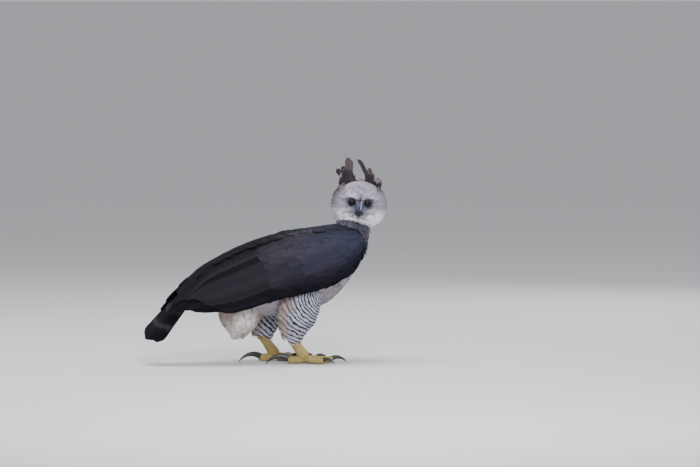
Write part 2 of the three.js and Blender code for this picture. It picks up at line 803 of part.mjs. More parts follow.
const tailFeathers = series(2 * RECTRICES.pairs, (i) => {
  const fromMiddle = i - RECTRICES.pairs + 0.5;
  const rank = Math.abs(fromMiddle);
  const v = fromMiddle / RECTRICES.pairs;
  const level = 2 * (rank - 0.5) + (fromMiddle > 0 ? 1 : 0);
  const height = -RECTRICES.under * level;
  return {
    root: [RECTRICES.root, v * RECTRICES.rootSpread],
    tip: [1 - RECTRICES.shorter * rank, v * RECTRICES.tipSpread],
    width: RECTRICES.width,
    lift: [height, height, height],
    roll: 0,
  };
});
const tailCoverts = [TAIL_COVERTS.above, TAIL_COVERTS.below].flatMap((lift) =>
  TAIL_COVERTS.across.map((v) => {
    const out = v === 0 ? TAIL_COVERTS.middle * Math.sign(lift[1]) : 0;
    return {
      root: [TAIL_COVERTS.root, v],
      tip: [TAIL_COVERTS.tip - TAIL_COVERTS.sideTips * v * v, v],
      width: TAIL_COVERTS.width,
      lift: lift.map((height) => height + out),
      roll: 0,
    };
  }),
);
const tailCore = {
  u: TAIL_CORE.along,
  v: TAIL_CORE.across,
  high: () => TAIL_CORE.high,
  low: () => TAIL_CORE.low,
};
const tailPieces = (grow) => [
  patch(tailSurface, tailCore, ...FACETS.tailCore, grow),
  ...coat(tailSurface, FLIGHT, tailFeathers, grow),
  ...coat(tailSurface, COVERT, tailCoverts, grow),
];

// The trousers' feathers round a thigh, in tiers that hang down it.
const trouserFeathers = TROUSERS.flatMap(([root, tip, count, width], tier) =>
  series(count, (i) => {
    const v = (i + 0.5 * tier) / count;
    return {
      root: [root, v],
      tip: [tip * vary(i + 7 * tier, UNEVEN.trouser), v],
      width,
      lift: TROUSER_LIFT,
      roll: TROUSER_ROLL,
    };
  }),
);

const nodes = [];
const sides = [
  ["right", -1],
  ["left", 1],
];

const torsoCut = join(torsoPieces(GAP));
const headCut = join(headPieces(GAP));
nodes.push(nodeOf("torso", trimmed(join(torsoPieces(0))), "back"));
nodes.push(nodeOf("neck", trimmed(neckSolid(0), torsoCut, headCut), "neck"));

const gapes = sides.map(([, side]) => closedBody(headTube(GAPE, side), ...FACETS.gape));
const sockets = sides.map(([, side]) => eyeBall(side, GAP));
const brows = sides.map(([, side]) => closedBody(headTube(BROW, side), ...FACETS.brow));
const lids = sides.map(([, side]) => lidRing(side));
const headSolid = trimmed(
  join([...headPieces(0), ...brows, ...lids]),
  upperBill(GAP),
  lowerBill(GAP),
  ...gapes,
  ...sockets,
  torsoCut,
);
nodes.push(nodeOf("head", headSolid, "face"));
nodes.push(nodeOf("crest", trimmed(join(crestPieces(0)), headCut), "crest"));
nodes.push(nodeOf("bill_upper", trimmed(upperBill(0), nostril(1), nostril(-1), ...sockets), "bill"));
nodes.push(nodeOf("bill_lower", trimmed(lowerBill(0), upperBill(GAP), ...sockets), "bill"));
for (const [name, side] of sides) nodes.push(nodeOf("eye_" + name, eyeBall(side, 0), "eye"));

const wingCuts = [];
for (const [name, mirror] of sides) {
  const forward = LEGS[name];
  const thighSurface = tube(legRows(THIGH, forward), mirror);
  const tarsusSurface = tube(legRows(TARSUS, forward), mirror);
  const thigh = (grow) => [
    closedBody(thighSurface, ...FACETS.thigh, grow),
    ...coat(thighSurface, TUFT, trouserFeathers, grow),
  ];
  const tarsus = (grow, scute = 0) => closedBody(tarsusSurface, ...FACETS.tarsus, grow, scute);
  const thighCut = join(thigh(GAP));
  nodes.push(nodeOf("thigh_" + name, trimmed(join(thigh(0)), torsoCut), "barred"));
  nodes.push(nodeOf("tarsus_" + name, trimmed(tarsus(0, SCUTE), thighCut), "foot"));
  const toes = Object.entries(TOES).map(([toe, sizes]) => {
    const rows = toeRows(sizes, forward);
    return [toe, sizes, closedBody(tube(rows, mirror), ...FACETS.toe, 0, SCUTE, ontoFloor)];
  });
  const claws = toes.map(([toe, sizes]) => [toe, tube(clawRows(sizes, forward), mirror)]);
  const foot = join(toes.map(([, , solid]) => solid));
  const clawCuts = claws.map(([, surface]) => closedBody(surface, ...FACETS.claw, GAP));
  nodes.push(nodeOf("foot_" + name, trimmed(foot, tarsus(GAP + SCUTE), ...clawCuts), "foot"));
  for (const [toe, surface] of claws) {
    const claw = closedBody(surface, ...FACETS.claw, 0, 0, ontoFloor);
    nodes.push(nodeOf("claw_" + toe + "_" + name, trimmed(claw), "claw"));
  }

  const wing = trimmed(join(wingPieces(mirror, 0)), torsoCut, neckSolid(GAP), headCut, thighCut);
  nodes.push(nodeOf("wing_" + name, wing, "slate"));
  wingCuts.push(join(wingPieces(mirror, GAP)));
}

nodes.push(nodeOf("tail", trimmed(join(tailPieces(0)), torsoCut, ...wingCuts), "slate"));

// The frame's origin is on the floor under the middle of the whole bird.
const bird = new THREE.Group();
bird.add(...nodes);
const box = new THREE.Box3().setFromObject(bird);
const centre = box.getCenter(new THREE.Vector3());
bird.position.set(-centre.x, -centre.y, 0);

export default bird;
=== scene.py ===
import math

import bpy
import numpy as np
from mathutils import Matrix, Vector


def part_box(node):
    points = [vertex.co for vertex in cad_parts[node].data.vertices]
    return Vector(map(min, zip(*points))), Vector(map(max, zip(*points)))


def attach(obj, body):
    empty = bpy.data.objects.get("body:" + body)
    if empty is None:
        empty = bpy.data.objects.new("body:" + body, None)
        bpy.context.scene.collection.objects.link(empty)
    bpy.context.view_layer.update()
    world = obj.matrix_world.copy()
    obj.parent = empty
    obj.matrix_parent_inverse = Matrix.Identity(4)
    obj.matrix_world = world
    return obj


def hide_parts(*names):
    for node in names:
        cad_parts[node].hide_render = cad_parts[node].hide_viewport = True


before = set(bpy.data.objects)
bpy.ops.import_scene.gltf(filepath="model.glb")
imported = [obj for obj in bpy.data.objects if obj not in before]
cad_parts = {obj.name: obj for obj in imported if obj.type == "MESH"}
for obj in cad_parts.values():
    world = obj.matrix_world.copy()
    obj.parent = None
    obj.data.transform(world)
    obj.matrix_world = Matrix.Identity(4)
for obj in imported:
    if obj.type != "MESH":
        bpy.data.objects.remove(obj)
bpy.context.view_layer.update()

MM = 0.001
DEGREE = math.pi / 180
TURN = 2 * math.pi
SIDES = [("right", -1), ("left", 1)]

# Stations of the torso from rump to breast: top x, top z, bottom x, bottom z, half width.
TORSO = [
    [-300, 238, -292, 200, 20],
    [-258, 280, -266, 176, 50],
    [-190, 328, -198, 152, 78],
    [-112, 363, -112, 140, 90],
    [-35, 385, -20, 142, 98],
    [40, 397, 60, 160, 101],
    [102, 405, 118, 182, 99],
    [152, 410, 166, 230, 91],
    [190, 405, 202, 286, 76],
    [216, 388, 226, 340, 46],
]
# How far the line of the back stands over the torso's top at each station. It rises onto the tail.
BACK_RISE = [8, 13, 2, 1, 1, 1, 1, 1, 0, 0]
# How far the rump lies under the wings' top edges at its sides.
RUMP_FALL = 10
# Stations of the neck from the shoulders up: centre, half size across and fore and aft.
NECK = [
    [182, 0, 350, 58, 56],
    [190, -2, 385, 55, 53],
    [200, -5, 415, 52, 50],
    [209, -8, 440, 49, 47],
    [213, -10, 462, 44, 42],
]
# The head is built facing +x with its eyes level with its origin, then turned and set down.
HEAD_PLACE = (210, -25, 480)
HEAD_TURN = {"Z": -105, "Y": 3, "X": -5}
# Stations of the head from nape to face: place, top, bottom, half width.
SKULL = [
    [-92, 6, -32, 16],
    [-84, 31, -58, 45],
    [-62, 51, -74, 66],
    [-35, 58, -80, 75],
    [-8, 56, -79, 77],
    [12, 47, -72, 69],
    [26, 33, -62, 55],
    [36, 16, -50, 38],
    [43, 0, -38, 20],
]
# Stations of the bill from its base to its tip: top x, top z, bottom x, bottom z, half width.
UPPER_BILL = [
    [30, 4, 30, -24, 14],
    [42, 6, 42, -25, 14],
    [53, 5, 50, -25.5, 13],
    [64, 0.5, 57, -26, 11.5],
    [73, -7, 63, -27, 9.6],
    [78.5, -17, 68, -29, 7.2],
    [79.5, -27, 72, -32, 4.7],
    [78, -34.5, 74.5, -36, 2.3],
    [76.5, -39.5, 76, -39.5, 0.7],
]
LOWER_BILL = [
    [30, -21, 30, -41, 13],
    [42, -22, 42, -41, 12.4],
    [51, -23, 51, -40, 11],
    [58, -24, 58, -38.5, 8.8],
    [64, -26, 64, -36.5, 6],
    [67.5, -30, 68, -34, 3],
]
EYE = {"x": 30, "y": 23.2, "z": 0, "radius": 12.5, "outward": 18}
NOSTRIL = {"x": 50, "y": 12.4, "z": -7, "long": 4.5, "wide": 6.0, "high": 2.4, "deep": 2.6}
BROW = [[43, 9, 8], [39, 20, 12.5], [31, 33, 12.5], [20, 44, 7]]
# The box round the bill's base that the face's feathers keep clear of.
BILL_BOX = {"from": 30, "half": 13.5, "top": 5, "bottom": -42}
# Where the head bulges from, and the shell that its colours fill, with the height where they end.
HEAD_MIDDLE = (-20.0, 0.0, -15.0)
HEAD_SHELL = {"centre": (-22, 0, -14), "radii": (78, 84, 74), "bottom": (-90, -80)}
# The crest's fan: its root and tip on the head, half its spread, and how the outer tips drop back.
CREST = {
    "root_x": -34,
    "root_z": 42,
    "tip_x": -66,
    "tip_z": 136,
    "root_half": 40,
    "tip_half": 70,
    "drop": 44,
    "back": 20,
}
# Stations of the right wing from its bend to its tip: top edge, bottom edge, bulge of its middle.
WING = [
    [206, 36, 382, 222, 60, 350, 2],
    [198, 58, 392, 211, 98, 352, 8],
    [168, 60, 402, 198, 113, 325, 17],
    [112, 58, 401, 164, 122, 276, 30],
    [42, 56, 393, 94, 127, 234, 38],
    [-38, 54, 379, 4, 125, 204, 38],
    [-118, 50, 356, -96, 114, 178, 32],
    [-196, 42, 326, -190, 98, 154, 24],
    [-266, 34, 290, -272, 82, 154, 16],
    [-318, 36, 241, -318, 72, 158, 8],
    [-384, 50, 178, -378, 64, 112, 3],
]
TAIL = {"x": -221, "z": 338, "slope": 50, "roll": 18, "length": 350, "root_half": 28, "tip_half": 64}
# How far forward each leg stands, then the stations of the left leg: centre and two half sizes.
LEG_FORWARD = {"right": 0, "left": -58}
THIGH = [
    [30, 58, 262, 28, 44],
    [24, 68, 226, 41, 59],
    [12, 72, 185, 43, 63],
    [2, 71, 145, 39, 60],
    [-6, 68, 112, 30, 48],
    [-10, 66, 84, 19, 31],
]
TARSUS = [
    [-26, 64, 112, 15, 17],
    [-22, 64, 98, 15, 17],
    [-8, 64, 72, 13, 14.5],
    [8, 65, 48, 13.5, 14.5],
    [22, 66, 28, 17, 17],
    [28, 66, 19, 17, 16],
]
FOOT = (28, 66)
# Stations of the loose feathers under the root of the tail, as the thigh's.
VENT = [
    [-146, 0, 196, 62, 66],
    [-152, 0, 166, 66, 66],
    [-156, 0, 138, 64, 58],
    [-158, 0, 114, 54, 46],
    [-160, 0, 96, 38, 30],
]
# Toes: heading from straight ahead towards the bird's middle, length, girth, claw and its girth.
TOES = {
    "middle": [-4, 84, 11.5, 56, 8.2],
    "inner": [38, 62, 12, 68, 9],
    "outer": [-46, 68, 10.5, 48, 7.4],
    "hallux": [172, 50, 12.5, 84, 10],
}
# A toe's stations: how far along, then height and girth for the toe's own girth.
TOE = [[0, 1.4, 1], [0.25, 1.08, 1.05], [0.5, 0.92, 0.96], [0.75, 0.9, 0.98], [1, 1.02, 0.78]]
TOE_ROUND = 0.95
# A claw: how steeply it leaves the toe and how far it turns, how deep it sets in and how high on the toe,
# how slim it is, its tip's half size, how it tapers and its steps.
CLAW = {
    "rise": 34,
    "turn": 92,
    "set": 5,
    "high": 1.05,
    "slim": 0.85,
    "tip": 0.7,
    "taper": 0.75,
    "steps": 12,
}

# Colours, linear.
SLATE = (0.0105, 0.0098, 0.0142)
# Slate blue: the real colour of the neck and breast, and painted sheen on the wings and back.
SLATE_BLUE_AND_SHEEN = (0.0255, 0.0285, 0.0530)
SLATE_BROWN = (0.042, 0.034, 0.045)
# Near black: the colour of the tail and flight feathers, and painted shade on the wings' lower parts.
BLACK_AND_PAINTED_SHADE = (0.0040, 0.0035, 0.0062)
WHITE = (0.66, 0.62, 0.60)
BUFF = (0.32, 0.23, 0.185)
COOL_WHITE = (0.45, 0.45, 0.56)
FACE = (0.335, 0.313, 0.385)
FACE_PALE = (0.90, 0.84, 0.93)
FACE_DARK = (0.050, 0.046, 0.062)
FACE_RIM = (0.22, 0.175, 0.185)
CROWN = (0.085, 0.066, 0.075)
NAPE = (0.17, 0.15, 0.16)
LORE = (0.07, 0.085, 0.15)
CREST_FRONT = (0.046, 0.034, 0.044)
CREST_TALL = (0.10, 0.078, 0.086)
CREST_BROWN = (0.050, 0.036, 0.043)
CREST_SIDE = (0.26, 0.20, 0.215)
TAIL_BAND = (0.034, 0.029, 0.032)
BAR_BLACK = (0.02, 0.019, 0.022)
PUPIL = (0.002, 0.002, 0.002)
EYE_RIM = (0.004, 0.003, 0.003)
# The cere's painted highlight: light glinting on the horn.
CERE_PAINTED_HIGHLIGHT = (0.32, 0.33, 0.48)
# The culmen's dark line: partly darker horn, partly painted shade.
BILL_RIDGE_AND_SHADE = (0.016, 0.018, 0.042)
# Painted shade for the inside of the nostrils.
NOSTRIL_PAINTED_SHADE = (0.004, 0.004, 0.005)
SKY = (0.93, 0.96, 1.0, 1)
# Mottled parts, each from its darker to its paler patches.
LID = [(0.007, 0.006, 0.008), (0.024, 0.021, 0.026)]
IRIS = [(0.006, 0.004, 0.004), (0.034, 0.028, 0.030)]
CERE = [(0.036, 0.041, 0.070), (0.076, 0.085, 0.140)]
HORN = [(0.007, 0.008, 0.010), (0.018, 0.019, 0.023)]
YELLOW = [(0.50, 0.36, 0.09), (0.66, 0.52, 0.20)]
FURROW_TONES = [(0.16, 0.12, 0.06), (0.24, 0.18, 0.09)]
CLAW_HORN = [(0.010, 0.010, 0.011), (0.045, 0.042, 0.042)]
FLOOR = [(0.66, 0.66, 0.67), (0.70, 0.70, 0.71)]


# Surfaces.


def row_at(rows, t):
    """A table of stations read at t from 0 to 1, smoothly between rows and straight on past its ends."""
    rows = np.asarray(rows, float)
    t = np.asarray(t, float)
    last = len(rows) - 1
    inside = np.clip(t, 0, 1)
    i = np.minimum((inside * last).astype(int), last - 1)
    f = (inside * last - i)[..., None]
    p, a, b, q = rows[np.maximum(i - 1, 0)], rows[i], rows[i + 1], rows[np.minimum(i + 2, last)]
    curve = a + 0.5 * f * (b - p + f * (2 * p - 5 * a + 4 * b - q + f * (3 * (a - b) + q - p)))
    return curve + ((t - inside) * last)[..., None] * (b - a)


def unit(vectors):
    return vectors / np.maximum(np.linalg.norm(vectors, axis=-1, keepdims=True), 1e-9)


def smooth(low, high, x):
    """A soft step from 0 at low to 1 at high."""
    t = np.clip((np.asarray(x, float) - low) / (high - low), 0, 1)
    return t * t * (3 - 2 * t)


def mix(a, b, share):
    """Colours a and b mixed by a share for each point."""
    a, b = np.broadcast_to(a, (len(share), 3)), np.broadcast_to(b, (len(share), 3))
    return a + (b - a) * np.asarray(share)[:, None]


def bell(x, width, centre=0.0):
    """A soft hump, 1 high at its centre."""
    return np.exp(-(((x - centre) / width) ** 2))


def stack(*parts):
    """Numbers and arrays side by side as the columns of a table."""
    return np.stack(np.broadcast_arrays(*parts), -1)


def folded(points):
    """Points on the head brought over to its left half."""
    return points * [1, 0, 1] + np.abs(points) * [0, 1, 0]


def quads_of(grid):
    """The faces between a grid's neighbours."""
    return np.stack([grid[:-1, :-1], grid[:-1, 1:], grid[1:, 1:], grid[1:, :-1]], -1).reshape(-1, 4)


ROUND = (0.0, 1.0)


class Surface:
    """A surface in millimetres, read at places (u, v). facing is 1 or -1, whichever puts out outside,
    and span is the part of v that its unwrap holds."""

    def __init__(self, at, facing=1, span=(-1.2, 1.2)):
        self.at = at
        self.facing = facing
        self.span = span

    def unwrap(self, places, home):
        """Where places lie in their part of the OFBake map: home is its low and high v."""
        low, high = self.span
        v = places[:, 1] % 1 if self.span == ROUND else places[:, 1]
        share = np.clip((v - low) / (high - low), 0.0, 1.0)
        along = np.clip((places[:, 0] + 0.2) / 1.4, 0.0, 1.0)
        return along, home[0] + (home[1] - home[0]) * share

    def frame(self, u, v, step=1e-3):
        """The point, both tangents and the outward normal."""
        u, v = np.broadcast_arrays(np.asarray(u, float), np.asarray(v, float))
        tangent_u = (self.at(u + step, v) - self.at(u - step, v)) / (2 * step)
        tangent_v = (self.at(u, v + step) - self.at(u, v - step)) / (2 * step)
        normal = unit(np.cross(tangent_u, tangent_v)) * self.facing
        return self.at(u, v), tangent_u, tangent_v, normal

    def chart(self, frame_at, vector):
        """How far u and v go for a vector along the surface."""
        _, tangent_u, tangent_v, _ = frame_at
        uu = (tangent_u * tangent_u).sum(-1)
        uv = (tangent_u * tangent_v).sum(-1)
        vv = (tangent_v * tangent_v).sum(-1)
        su = (vector * tangent_u).sum(-1)
        sv = (vector * tangent_v).sum(-1)
        det = np.maximum(uu * vv - uv * uv, 1e-6)
        return np.stack([(su * vv - sv * uv) / det, (sv * uu - su * uv) / det], -1)


head_matrix = np.eye(3)
for axis, angle in HEAD_TURN.items():
    head_matrix = head_matrix @ np.array(Matrix.Rotation(angle * DEGREE, 3, axis))


def on_head(points):
    return np.asarray(points, float) @ head_matrix.T + HEAD_PLACE


def off_head(points):
    return (np.asarray(points, float) - HEAD_PLACE) @ head_matrix


def hanging(rows):
    """A body whose sections hang between top and bottom points: v turns from the top to the left."""

    def at(u, v):
        top_x, top_z, low_x, low_z, half = np.moveaxis(row_at(rows, u), -1, 0)
        up = np.cos(TURN * v) / 2
        x = (top_x + low_x) / 2 + (top_x - low_x) * up
        z = (top_z + low_z) / 2 + (top_z - low_z) * up
        return np.stack([x, half * np.sin(TURN * v), z], -1)

    return Surface(at, 1, ROUND)


def tube(rows, mirror=1):
    """A body along a centre line, with half sizes across and upright to it."""
    rows = np.asarray(rows, float)

    def at(u, v):
        values = row_at(rows, u)
        ahead = row_at(rows, u + 0.01)[..., :3] - row_at(rows, u - 0.01)[..., :3]
        out = unit(np.cross(ahead, np.broadcast_to([0.0, 1.0, 0.0], ahead.shape)))
        side = unit(np.cross(out, ahead))
        across, upright = values[..., 3:4], values[..., -1:]
        angle = TURN * np.asarray(v, float)[..., None]
        points = values[..., :3] + out * upright * np.cos(angle) + side * across * np.sin(angle)
        return points * [1, mirror, 1]

    return Surface(at, mirror, ROUND)


def wing_surface(mirror):
    """A wing's outer surface: u runs from the bend to the tip, v from its top edge to its bottom."""

    def at(u, v):
        top_x, top_y, top_z, low_x, low_y, low_z, bulge = np.moveaxis(row_at(WING, u), -1, 0)
        swell = bulge * 4 * v * (1 - v)
        x = top_x + (low_x - top_x) * v
        y = top_y + (low_y - top_y) * v + swell
        z = top_z + (low_z - top_z) * v + 0.3 * swell
        return np.stack([x, mirror * y, z], -1)

    return Surface(at, -mirror)


def tail_at(u, v):
    slope, roll = TAIL["slope"] * DEGREE, TAIL["roll"] * DEGREE
    half = TAIL["root_half"] + (TAIL["tip_half"] - TAIL["root_half"]) * u
    height = half * v * math.sin(roll)
    along = TAIL["length"] * u
    x = TAIL["x"] - along * math.cos(slope) - height * math.sin(slope)
    z = TAIL["z"] - along * math.sin(slope) + height * math.cos(slope)
    return np.stack([x, half * v * math.cos(roll), z], -1)


def crest_at(u, v):
    half = CREST["root_half"] + (CREST["tip_half"] - CREST["root_half"]) * u
    x = CREST["root_x"] + (CREST["tip_x"] - CREST["root_x"]) * u - CREST["back"] * v * v
    z = CREST["root_z"] + (CREST["tip_z"] - CREST["root_z"]) * u - CREST["drop"] * u * v * v
    return on_head(np.stack([x, half * v, z], -1))


def back_at(u, v):
    """The back between the wings' top edges: u runs from the rump to the shoulders, v from -1 to 1."""
    ridge = row_at(TORSO, u)
    rise = row_at([[rise] for rise in BACK_RISE], u)[..., 0]
    edge = row_at(WING, 0.94 - 0.90 * u)
    fall = RUMP_FALL * smooth(0.35, 0.0, u)
    share = np.asarray(v, float) ** 2
    x = ridge[..., 0] + (edge[..., 0] - ridge[..., 0]) * share
    z = ridge[..., 1] + rise + (edge[..., 2] - fall - ridge[..., 1] - rise) * share
    return np.stack([x, edge[..., 1] * v, z], -1)


def relief(points):
    """How far the face stands out at points on the head: brow ridges, and hollows round the eyes."""
    left = folded(points)
    eye = np.array([EYE["x"] + 8, EYE["y"] + 2, EYE["z"]])
    hollow = bell(np.linalg.norm(left - eye, axis=-1), 13)
    ridge = np.zeros(points.shape[:-1])
    for t in np.linspace(0, 1, 9):
        away = np.linalg.norm(left - row_at(BROW, np.array(t)), axis=-1)
        ridge = np.maximum(ridge, bell(away, 6.5))
    return 7.0 * ridge - 4.0 * hollow


bare_skull = hanging([[x, top, x, low, half] for x, top, low, half in SKULL])


def skull_at(u, v):
    points = bare_skull.at(u, v)
    outward = unit(points - np.array(HEAD_MIDDLE))
    return on_head(points + outward * relief(points)[..., None])


torso_surface = hanging(TORSO)
neck_surface = tube(NECK)
skull_surface = Surface(skull_at, 1, ROUND)
vent_surface = tube(VENT)
tail_surface = Surface(tail_at, -1)
under_tail_surface = Surface(tail_at, 1)
crest_surface = Surface(crest_at, -1)
back_surface = Surface(back_at, 1)
thighs = {
    name: tube([[x + LEG_FORWARD[name], *rest] for x, *rest in THIGH], side) for name, side in SIDES
}

eye_low, eye_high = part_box("eye_left")
eye_place = on_head([EYE["x"], EYE["y"], EYE["z"]])
SHIFT = np.array((eye_low + eye_high) / 2) - eye_place * MM


def to_frame(points):
    return np.asarray(points, float) * MM + SHIFT


# Camera, at the photograph's place: its aim is given along and up from under the bird's origin.
AZIMUTH, ELEVATION = -15 * DEGREE, 3 * DEGREE
AIM_RIGHT, AIM_UP, DISTANCE, LENS, CLIP_END = 0.180, 0.3855, 14.0, 240, 1000


def make_camera():
    right = Vector((math.cos(AZIMUTH), math.sin(AZIMUTH), 0))
    level = math.cos(ELEVATION)
    back = Vector((math.sin(AZIMUTH) * level, -math.cos(AZIMUTH) * level, math.sin(ELEVATION)))
    up = back.cross(right)
    camera = bpy.data.objects.new("camera", bpy.data.cameras.new("camera"))
    bpy.context.scene.collection.objects.link(camera)
    camera.location = Vector(SHIFT) + right * AIM_RIGHT + up * AIM_UP + back * DISTANCE
    camera.rotation_mode = "QUATERNION"
    camera.rotation_quaternion = back.to_track_quat("Z", "Y")
    camera.data.lens = LENS
    camera.data.clip_end = CLIP_END
    bpy.context.scene.camera = camera


make_camera()

# Materials.

# The thighs' bars run round a line across the bird, so that they are steep high up and curve forward.
# pace is how close they are, share their share of black, wander their wave, and closer is how much
# closer together they lie far above or below the line.
BARS = {"x": 87, "z": 209, "pace": 54.0, "share": 0.46, "wander": 1.1, "closer": 120.0}


class Value:
    """A socket of a material, so that sums of sockets read as sums."""

    def __init__(self, graph, socket):
        self.graph = graph
        self.socket = socket

    def __add__(self, other):
        return self.graph.math("ADD", self, other)

    def __sub__(self, other):
        return self.graph.math("SUBTRACT", self, other)

    def __rsub__(self, other):
        return self.graph.math("SUBTRACT", other, self)

    def __mul__(self, other):
        return self.graph.math("MULTIPLY", self, other)

    def __pow__(self, other):
        return self.graph.math("POWER", self, other)

    def __abs__(self):
        return self.graph.math("ABSOLUTE", self)


class Graph:
    """A material's node tree, built from the shader back."""

    def __init__(self, name, **shader):
        self.material = bpy.data.materials.new(name)
        self.material.use_nodes = True
        self.tree = self.material.node_tree
        self.shader = self.tree.nodes["Principled BSDF"]
        for socket, value in shader.items():
            self.shader.inputs[socket.replace("_", " ")].default_value = value

    def node(self, kind, *inputs, **settings):
        node = self.tree.nodes.new(kind)
        for key, value in settings.items():
            setattr(node, key, value)
        for socket, value in zip(node.inputs, inputs):
            self.feed(socket, value)
        return node

    def value(self, kind, *inputs, output=0, **settings):
        """The output of a new node."""
        return Value(self, self.node(kind, *inputs, **settings).outputs[output])

    def feed(self, socket, value):
        if isinstance(value, Value):
            self.tree.links.new(value.socket, socket)
        elif value is not None:
            socket.default_value = value

    def math(self, operation, a, b=None):
        return self.value("ShaderNodeMath", a, b, operation=operation)

    def attribute(self, name, output="Fac"):
        return self.value("ShaderNodeAttribute", output=output, attribute_name=name)

    def split(self, vector):
        return [Value(self, part) for part in self.node("ShaderNodeSeparateXYZ", vector).outputs]

    def combine(self, x, y, z):
        return self.value("ShaderNodeCombineXYZ", x, y, z)

    def place(self):
        return self.value("ShaderNodeTexCoord", output="Object")

    def noise(self, scale, detail=3.0, vector=None):
        node = self.node("ShaderNodeTexNoise", vector or self.place())
        node.inputs["Scale"].default_value = scale
        node.inputs["Detail"].default_value = detail
        return Value(self, node.outputs["Fac"])

    def step(self, value, low, high):
        """A soft step of a value, from 0 at low to 1 at high."""
        soft = {"interpolation_type": "SMOOTHSTEP"}
        return self.value("ShaderNodeMapRange", value, low, high, 0.0, 1.0, **soft)

    def mix(self, share, a, b, blend="MIX"):
        node = self.node("ShaderNodeMix", data_type="RGBA", blend_type=blend)
        self.feed(node.inputs["Factor"], share)
        self.feed(node.inputs["A"], (*a, 1) if isinstance(a, tuple) else a)
        self.feed(node.inputs["B"], (*b, 1) if isinstance(b, tuple) else b)
        return Value(self, node.outputs["Result"])

    def tint(self, colour, by):
        """A colour multiplied by another."""
        return self.mix(1.0, colour, by, "MULTIPLY")

    def shaded(self, colour, shade):
        """A colour multiplied by a number."""
        return self.tint(colour, self.combine(shade, shade, shade))

    def colour(self, value):
        self.feed(self.shader.inputs["Base Color"], value)

    def roughness(self, value):
        self.feed(self.shader.inputs["Roughness"], value)

    def bump(self, height, distance):
        node = self.node("ShaderNodeBump")
        node.inputs["Distance"].default_value = distance
        self.feed(node.inputs["Height"], height)
        self.feed(self.shader.inputs["Normal"], Value(self, node.outputs[0]))


def bar_amount(g, chance):
    """How black a feather is at a place, between the coat's cross bars and on them."""
    x, _, z = g.split(g.place())
    centre = to_frame([BARS["x"], 0, BARS["z"]])
    ahead, up = x - centre[0], z - centre[2]
    away = g.math("SQRT", ahead**2.0 + up**2.0)
    waver = (g.noise(38.0, 1.0) + g.noise(170.0, 1.0) * 0.5) * BARS["wander"]
    turns = g.math("SQRT", away) * BARS["pace"] + up**2.0 * BARS["closer"] + (waver + chance * 0.14)
    low = 1 - 2 * BARS["share"]
    return g.step(g.math("SINE", turns * TURN), low, low + 0.5) * g.attribute("barred")


def feather_material(name, fringe, shaft, bars=False, barb=0.0012, streak=0.25, relief=0.0001, **shader):
    """A coat's material. Its colour is the feather's own tone with a paler or darker fringe and shaft,
    barbs that slant from the shaft, and cross bars if any."""
    g = Graph(name, **shader)
    colour = g.attribute("tone", "Color")
    across, along, chance = g.split(g.attribute("vane", "Vector"))
    side = abs(across)
    wave = g.math("SINE", g.attribute("barb") * (TURN / barb))
    if bars:
        colour = g.mix(bar_amount(g, chance), colour, BAR_BLACK)
    edge = g.math("MAXIMUM", g.step(side, 0.72, 1.0), g.step(along, 0.86, 1.0))
    worn = g.step(chance, 0.86, 0.95) * 1.6 + 0.45
    ragged = edge * worn * g.noise(420.0)
    colour = g.mix(ragged * 0.8, colour, g.tint(colour, fringe))
    middle = 1.0 - g.step(side, 0.0, 0.14)
    colour = g.mix(middle * 0.55, colour, g.tint(colour, shaft))
    rough = g.noise(900.0, 4.0) * streak + (1 - streak / 2)
    g.colour(g.shaded(colour, (wave * (streak * 0.4) + 1.0) * rough))
    g.bump(wave + middle * 2.0, relief)
    return g.material


def skin_material():
    g = Graph("skin", Roughness=0.85)
    pores = g.noise(700.0, 4.0)
    g.colour(g.shaded(g.attribute("tone", "Color"), pores * 0.4 + 0.75))
    g.bump(pores, 0.0006)
    return g.material


def grain_material(name, colours, scale, detail, rough=None, **shader):
    """Two colours mixed by a fine grain, which the roughness may follow."""
    g = Graph(name, **shader)
    grain = g.noise(scale, detail)
    g.colour(g.mix(grain, *colours))
    if rough:
        g.roughness(grain * rough[0] + rough[1])
    g.bump(grain, 0.0003)
    return g.material


def eye_material():
    """Dark iris with fine rays, black pupil and rim, under a wet coat."""
    g = Graph("eye", Roughness=0.35, Coat_Weight=0.3, Coat_Roughness=0.02, Specular_IOR_Level=0.05)
    out, turn, _ = g.split(g.attribute("look", "Vector"))
    iris = g.mix(g.noise(1.0, vector=g.combine(turn * 9.0, out, 0.0)), *IRIS)
    colour = g.mix(g.step(out, 0.30, 0.34), PUPIL, iris)
    g.colour(g.mix(g.step(out, 0.66, 0.76), colour, EYE_RIM))
    return g.material


def bill_material(name, dark_from):
    """Horn that darkens from the blue-grey cere to a black hook. Its place on the head sets where."""
    g = Graph("bill_horn_" + name, Specular_IOR_Level=0.22, Coat_Weight=0.06, Coat_Roughness=0.3)
    x, y, z = g.split(g.attribute("onhead", "Vector"))
    cloud = g.noise(260.0, 4.0)
    # A painted highlight: a pale stripe on the cere, on the bird's left of the culmen, stands in for light
    # glinting on the horn.
    light = (1.0 - g.step(abs(y - 5.0), 0.8, 3.0)) * g.step(z, -24.0, -14.0)
    cere = g.mix(light * 0.8, g.mix(cloud, *CERE), CERE_PAINTED_HIGHLIGHT)
    reach = x - z * 0.7 + cloud * 8.0
    colour = g.mix(g.step(reach, dark_from, dark_from + 11.0), cere, g.mix(cloud, *HORN))
    # A dark line down the culmen, a little to the bird's right of its middle: partly the ridge's darker
    # horn, partly painted shade on the ridge's shaded side.
    ridge = 1.0 - g.step(abs(y + 0.8), 1.4, 3.4)
    colour = g.mix(ridge * g.step(z, -30.0, -20.0), colour, BILL_RIDGE_AND_SHADE)
    # The nostril's shallow dent is painted near black: painted shade for the depth of its opening.
    g.colour(g.mix(g.attribute("hole"), colour, NOSTRIL_PAINTED_SHADE))
    g.roughness(g.noise(1200.0, 4.0) * 0.22 + 0.26)
    g.bump(g.noise(1.0, vector=g.combine(x, y * 0.2, z)) + cloud, 0.0004)
    return g.material


